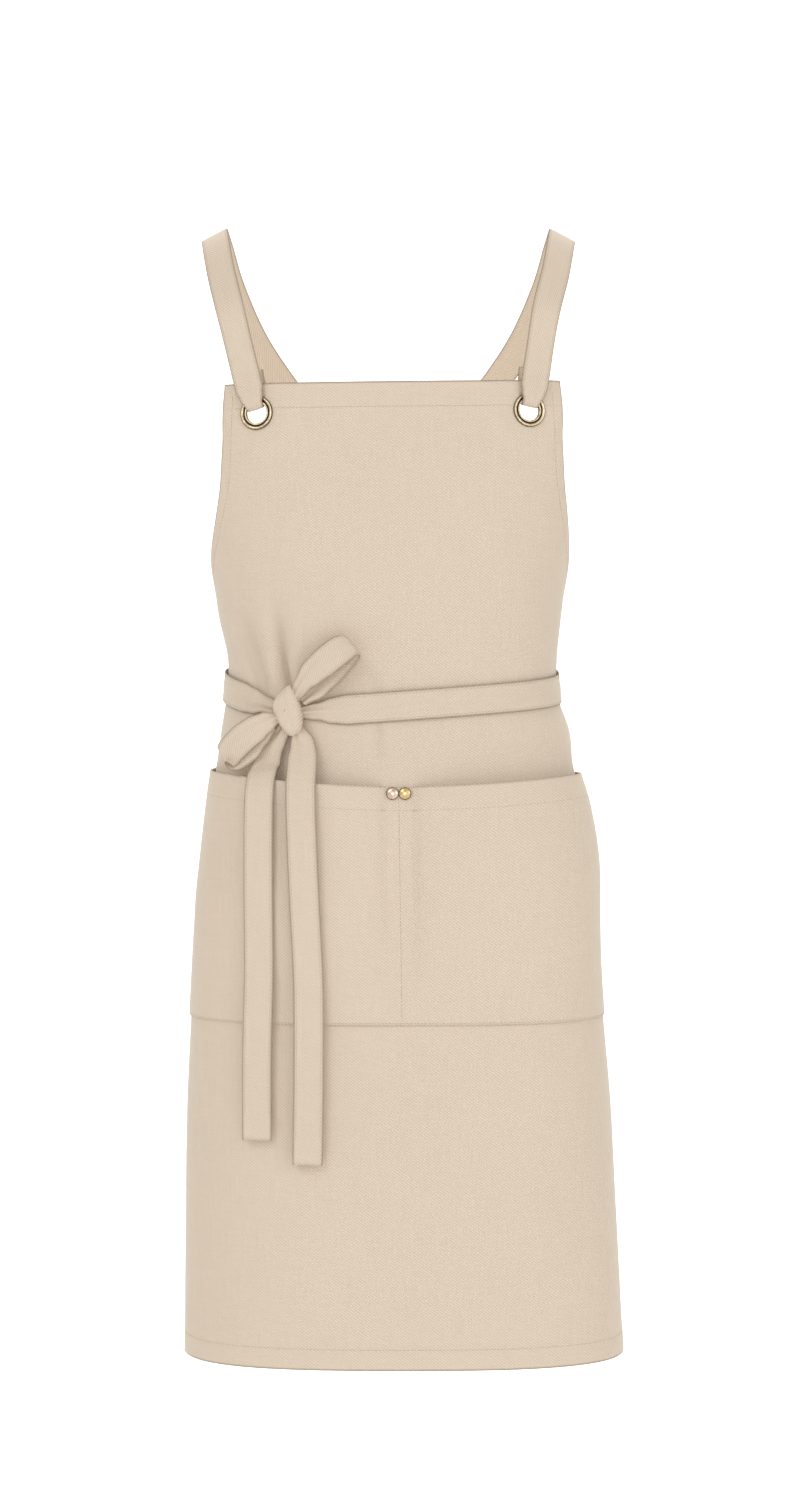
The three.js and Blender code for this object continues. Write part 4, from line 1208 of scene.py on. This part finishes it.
def cloth_seam(across, down, standoff, pocketed=False):
    """A run of stitches on the cloth or on the pocket, along a line in the flat cloth."""
    across, down = np.broadcast_arrays(np.asarray(across, float), np.asarray(down, float))
    facing = cloth_facing(across, down)
    if pocketed:
        path = pocket_place(across, down, np.full(across.shape, standoff))
    else:
        path = cloth_point(across, down) + facing * (standoff + rumple(across, down))[..., None]
    return stitch_places(path, facing)


heights = np.linspace(0, 1, 500)
side_line = cloth_half(heights) - SIDE_HEM + SEAM_INSET
on_cloth = BODY_CLOTH / 2 - 0.02 * MM
inset = SIDE_HEM - SEAM_INSET
body_runs = [cloth_seam(side * side_line[6:-6], heights[6:-6], on_cloth) for side in (-1, 1)]
top_line = (TOP_HEM - SEAM_INSET) / APRON_LENGTH
bottom_line = 1 - (BOTTOM_HEM - SEAM_INSET) / APRON_LENGTH
for line, half in ((top_line, BIB_HALF - inset), (bottom_line, SKIRT_HALF - inset)):
    body_runs.append(cloth_seam(np.linspace(-half, half, 400), line, on_cloth))


def clear_of_eyelets(run):
    """A run of stitches without those that an eyelet would cover."""
    gaps = [np.linalg.norm(run[0] - centre, axis=1) for centre, facing in EYELET_SEATS.values()]
    clear = np.min(gaps, axis=0) > EYELET_RIM + 1 * MM
    return tuple(part[clear] for part in run)


body_runs = [clear_of_eyelets(run) for run in body_runs]
body_stitches = make_stitches("hem_stitches", body_runs, thread_finish)

pocket_rows = np.linspace(POCKET_TOP + 0.003, POCKET_BOTTOM - 0.0025, 200)
pocket_side = POCKET_HALF - SEAM_INSET
pocket_cols = np.linspace(-pocket_side, pocket_side, 400)
on_pocket = POCKET_CLOTH / 2 + 0.06 * MM
pocket_top_line = (POCKET_DROP + POCKET_HEM - SEAM_INSET) / APRON_LENGTH
pocket_runs = [cloth_seam(line, pocket_rows, height, True) for line, height in (
    (0.0, on_pocket - MIDDLE_GROOVE), (-pocket_side, on_pocket), (pocket_side, on_pocket))]
pocket_runs += [cloth_seam(pocket_cols, line, height, True) for line, height in (
    (POCKET_BOTTOM - SEAM_INSET / APRON_LENGTH, on_pocket),
    (pocket_top_line, on_pocket - 0.2 * MM))]
pocket_stitches = make_stitches("pocket_stitches", pocket_runs, thread_finish)


def ribbon_seams(way, ripple):
    """Two rows of stitches on a ribbon's outer side, in its grooves, short of both ends."""
    wide, face = route_frame(way)
    rise = section_height(0.8, way["thick"]) + pleat(0.8, gathering(way), ripple) * 0.98
    return [stitch_places(
        (way["at"] + wide * (side * 0.4 * way["width"])[:, None] + face * rise[:, None])[6:-6],
        face[6:-6]) for side in (-1, 1)]


strap_runs = []
for group, ripple in ((straps, EYELET_RIPPLE), (ties + loops + tails, KNOT_RIPPLE)):
    for piece, way, length in group:
        strap_runs += ribbon_seams(way, ripple)
make_stitches("strap_stitches", strap_runs, thread_finish)

# %% [markdown]
# ## Eyelets, studs and rivets
# Pressed brass is turned in form: a profile goes once round an axis. The eyelet has a
# small bead round its hole and a wider rolled rim, with a groove between. The brass has a
# cloudy patina of bright and dull; shade is painted in as near black in the groove and
# darker at the eyelet's edges, in its hole and round the foot of each dome.

# %% The brass
BEAD_RADIUS = 1.0 * MM
RIM_ROLL = 1.5 * MM
GROOVE_RADIUS = EYELET_HOLE + 2.25 * MM


def antique_brass(name, bright, dull, tone_scale):
    """Old brass: a cloudy patina, fine scratches, and near black where shade is painted in."""
    finish = Finish(name)
    place = finish.node("ShaderNodeTexCoord", {}, {}, "Object")
    patina = finish.noise(place, tone_scale, 5.0, 0.65)
    stain = finish.node("ShaderNodeValToRGB", {
        "stops": [(0.34, dull + (1.0,)), (0.66, bright + (1.0,))]}, {0: patina})
    scratch = finish.noise(place, 2600.0, 3.0, 0.7)
    bump = finish.node("ShaderNodeBump", {}, {
        "Strength": 0.35, "Distance": 0.05 * MM, "Height": scratch + patina * 0.5})
    # The painted shade turns the colour near black and makes the surface rougher.
    painted_shade = finish.node("ShaderNodeAttribute", {"attribute_name": "painted_shade"}, {}, "Fac")
    return finish.feed(
        Base_Color=finish.blend(painted_shade, stain, (0.012, 0.008, 0.006, 1.0)), Metallic=1.0,
        Roughness=0.2 + scratch * 0.16 + patina * 0.1 + painted_shade * 0.4, Normal=bump)


def eyelet_shade(profile):
    """Painted shade: near black in the groove, dark at the outer edge, in the hole and behind."""
    radius, height = np.array(profile).T
    in_groove = 1 - ease((np.abs(radius - GROOVE_RADIUS) - 0.4 * MM) / (0.5 * MM))
    at_edge = 0.75 * ease((radius - EYELET_RIM + 1.0 * MM) / (0.6 * MM))
    in_hole = 0.8 * (1 - ease((radius - EYELET_HOLE) / (0.3 * MM)))
    return np.where(height > 0, np.maximum(in_groove, np.maximum(at_edge, in_hole)), 0.6)


def dome_foot_shade(profile):
    """Painted shade: dark round the foot of a dome, where it meets the cloth."""
    radius = np.array(profile)[:, 0]
    return ease((radius / radius.max() - 0.86) / 0.12)


def merge_doubles(piece):
    """Merges the doubled points where a profile meets its axis."""
    cleaned = bmesh.new()
    cleaned.from_mesh(piece.data)
    bmesh.ops.remove_doubles(cleaned, verts=cleaned.verts, dist=1e-7)
    bmesh.ops.recalc_face_normals(cleaned, faces=cleaned.faces)
    cleaned.to_mesh(piece.data)
    cleaned.free()
    piece.data.shade_smooth()


def turned_part(name, profile, painted_shade, sides, centre, facing, finish):
    """A closed profile of (radius, height) carried once round the axis at a centre."""
    radius, height = np.array(profile).T
    turn = np.linspace(0, 2 * np.pi, sides + 1)[:-1]
    aside = unit(np.cross(facing, UP))
    over = np.cross(aside, facing)
    around = aside * np.cos(turn)[:, None] + over * np.sin(turn)[:, None]
    points = centre + facing * height[:, None, None] + around * radius[:, None, None]
    quads = grid_quads(len(profile), sides, closed_rows=radius[0] > 0, closed_cols=True)
    faces = quads.reshape(-1, 4)[:, ::-1]
    piece = add_piece(name, points, faces, np.zeros((points.shape[0] * sides, 3)), finish,
                      np.repeat(painted_shade, sides))
    merge_doubles(piece)
    return piece


def arc(radius_middle, height_middle, radius, start, stop, count):
    """Points of a circle in the profile's plane, by angle in degrees."""
    angle = np.radians(np.linspace(start, stop, count))
    return list(zip(radius_middle + radius * np.cos(angle), height_middle + radius * np.sin(angle)))


def eyelet_profile():
    """A small bead round the hole, a groove, a rolled rim, and a washer behind."""
    skin = BODY_CLOTH / 2 + SEAT
    bead_middle = EYELET_HOLE + BEAD_RADIUS
    front = arc(bead_middle, skin + 0.3 * MM, BEAD_RADIUS, 180, 10, 12)
    rim = arc(EYELET_RIM - RIM_ROLL, skin + 0.35 * MM, RIM_ROLL, 165, -12, 14)
    under = [(EYELET_RIM - 0.2 * MM, skin), (HOLE_RADIUS, skin), (HOLE_RADIUS, -skin),
             (EYELET_RIM - 0.2 * MM, -skin)]
    back = arc(EYELET_RIM - 1.0 * MM, -skin - 0.3 * MM, 0.9 * MM, 0, -100, 6)
    inside = arc(bead_middle, -skin - 0.1 * MM, BEAD_RADIUS, 250, 180, 6)
    return front + rim + under + back + inside


eyelet_brass = antique_brass("eyelet_brass", (0.92, 0.8, 0.57), (0.5, 0.36, 0.2), 300.0)
copper_stud = antique_brass("copper_stud", (0.93, 0.76, 0.63), (0.6, 0.42, 0.3), 260.0)
yellow_stud = antique_brass("yellow_stud", (0.9, 0.7, 0.38), (0.5, 0.33, 0.14), 260.0)
dark_rivet = antique_brass("dark_rivet", (0.2, 0.12, 0.09), (0.08, 0.045, 0.035), 260.0)

eyelet_shape = eyelet_profile()
for name, (centre, facing) in EYELET_SEATS.items():
    place, word = name.split("_")
    ring = turned_part(f"{place}_eyelet_ring_{word}", eyelet_shape, eyelet_shade(eyelet_shape), 72,
                       centre, facing, eyelet_brass)
    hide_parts(f"{place}_eyelet_{word}")


def dome_profile(radius, height):
    """A shallow dome on a short upright edge."""
    edge = height * 0.28
    dome = [(radius * math.cos(a), edge + (height - edge) * math.sin(a))
            for a in np.linspace(0, math.pi / 2, 14)]
    dome[-1] = (0.0, height)
    return [(0.0, 0.0), (radius * 0.96, 0.0), (radius, edge * 0.4)] + dome


def sewn_seat(across, drop):
    """The point and facing on the pocket's outer side, where a stud is clamped."""
    across, down = np.array(across), np.array(drop / APRON_LENGTH)
    facing = cloth_facing(across, down)
    out = POCKET_MIDDLE + POCKET_CLOTH / 2 + SEAT
    return cloth_point(across, down) + facing * out, facing


def dome_part(name, radius, height, sides, across, drop, finish):
    """A dome clamped on the pocket, in place of the model's node of the same name."""
    shape = dome_profile(radius, height)
    part = turned_part(name, shape, dome_foot_shade(shape), sides, *sewn_seat(across, drop), finish)
    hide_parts(f"pocket_{name}")


for side, word in SIDES:
    stud_finish = copper_stud if word == "left" else yellow_stud
    dome_part(f"stud_{word}", STUD_RADIUS, STUD_HEIGHT, 48,
              side * STUD_SPACING / 2, POCKET_DROP + STUD_DROP, stud_finish)
    dome_part(f"rivet_{word}", RIVET_RADIUS, RIVET_HEIGHT, 36,
              side * (POCKET_HALF - RIVET_INSET), POCKET_DROP + RIVET_INSET, dark_rivet)

# %% [markdown]
# ## The body's cut
# The body's cut isn't a rectangle, so its flat area, as it lay on the cutting table, is
# worked out from its width at each height and printed.

# %% The sheets
cut_rows = np.linspace(0, 1, 1001)
body_area = float(np.mean(2 * cloth_half(cut_rows)) * APRON_LENGTH)
print("body cut area", round(body_area, 4), "m2")
for piece, way, length in loops + tails:
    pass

# %% [markdown]
# ## Studio and camera
# A white sweep of paper stands behind the apron and runs forward under it. The light is
# broad and soft: an even glow from all round, soft boxes by the camera and on both sides,
# and one more for the paper. The camera stands as far off as the photograph's was, level
# with the chest. A small shift frames the skirt without tilting the camera, so upright
# lines stay upright.

# %% The studio
FLOOR_DROP = 1.45
SWEEP_BACK = 3.9
SWEEP_RADIUS = 0.9
AIR_STRENGTH = 0.61


def plain_paper():
    """Matt white paper with a trace of tooth."""
    finish = Finish("sweep_paper")
    place = finish.node("ShaderNodeTexCoord", {}, {}, "Object")
    tooth = finish.noise(place, 300.0, 2.0)
    bump = finish.node("ShaderNodeBump", {}, {"Strength": 0.05, "Distance": 0.1 * MM, "Height": tooth})
    return finish.feed(Base_Color=(0.93, 0.93, 0.93, 1), Roughness=0.95, Normal=bump)


def make_sweep(finish):
    """A floor that curves up into a wall: a line, a quarter circle and a line, drawn wide."""
    angle = np.linspace(0, np.pi / 2, 24)
    y = np.concatenate([[-6], SWEEP_BACK + SWEEP_RADIUS * np.sin(angle), [SWEEP_BACK + SWEEP_RADIUS]])
    z = np.concatenate([[0], SWEEP_RADIUS * (1 - np.cos(angle)), [6]]) - FLOOR_DROP
    x = np.array([-7.0, 7.0])
    points = np.stack(np.broadcast_arrays(x[None, :], y[:, None], z[:, None]), axis=-1)
    faces = grid_quads(len(y), 2).reshape(-1, 4)[:, ::-1]
    return mesh_object("paper_sweep", points, faces, finish)


make_sweep(plain_paper())


def soft_light(name, place, target, size, power):
    """A square soft box that looks at a target."""
    lamp = bpy.data.lights.new(name, "AREA")
    lamp.shape = "SQUARE"
    lamp.size = size
    lamp.energy = power
    light = link_object(name, lamp)
    light.location = place
    away = np.array(place, float) - np.array(target, float)
    flat = math.hypot(away[0], away[1])
    light.rotation_euler = (math.atan2(flat, away[2]), 0, math.atan2(away[0], -away[1]))


soft_light("key_light", (-1.7, -2.6, 1.5), (0, 0, -0.5), 1.6, 22)
soft_light("fill_light", (2.4, -2.4, 0.2), (0, 0, -0.5), 2.0, 16)
soft_light("front_light", (0.1, -4.3, 0.1), (0, 0, -0.45), 1.3, 22)
soft_light("paper_light", (0, 1.9, 2.4), (0, 4.5, -0.8), 2.8, 190)

world = bpy.data.worlds.new("studio_air")
world.use_nodes = True
world.node_tree.nodes["Background"].inputs["Color"].default_value = (1, 1, 1, 1)
world.node_tree.nodes["Background"].inputs["Strength"].default_value = AIR_STRENGTH
bpy.context.scene.world = world
bpy.context.scene.view_settings.view_transform = "Standard"

# %% The camera
FRAME_HEIGHT_PX = 1500
FOCAL_PX = 4023
EYE_ROW_PX = 600
CAMERA_AWAY = 3.57
EYE_LEVEL = -0.323
EYE_ACROSS = 0.005
SENSOR = 24.0
camera_data = bpy.data.cameras.new("camera")
camera_data.sensor_fit = "VERTICAL"
camera_data.sensor_height = SENSOR
camera_data.lens = SENSOR * FOCAL_PX / FRAME_HEIGHT_PX
camera_data.shift_y = -(FRAME_HEIGHT_PX / 2 - EYE_ROW_PX) / FRAME_HEIGHT_PX
camera = link_object("camera", camera_data)
camera.location = (EYE_ACROSS, -CAMERA_AWAY, EYE_LEVEL)
camera.rotation_euler = (math.pi / 2, 0, 0)
bpy.context.scene.camera = camera
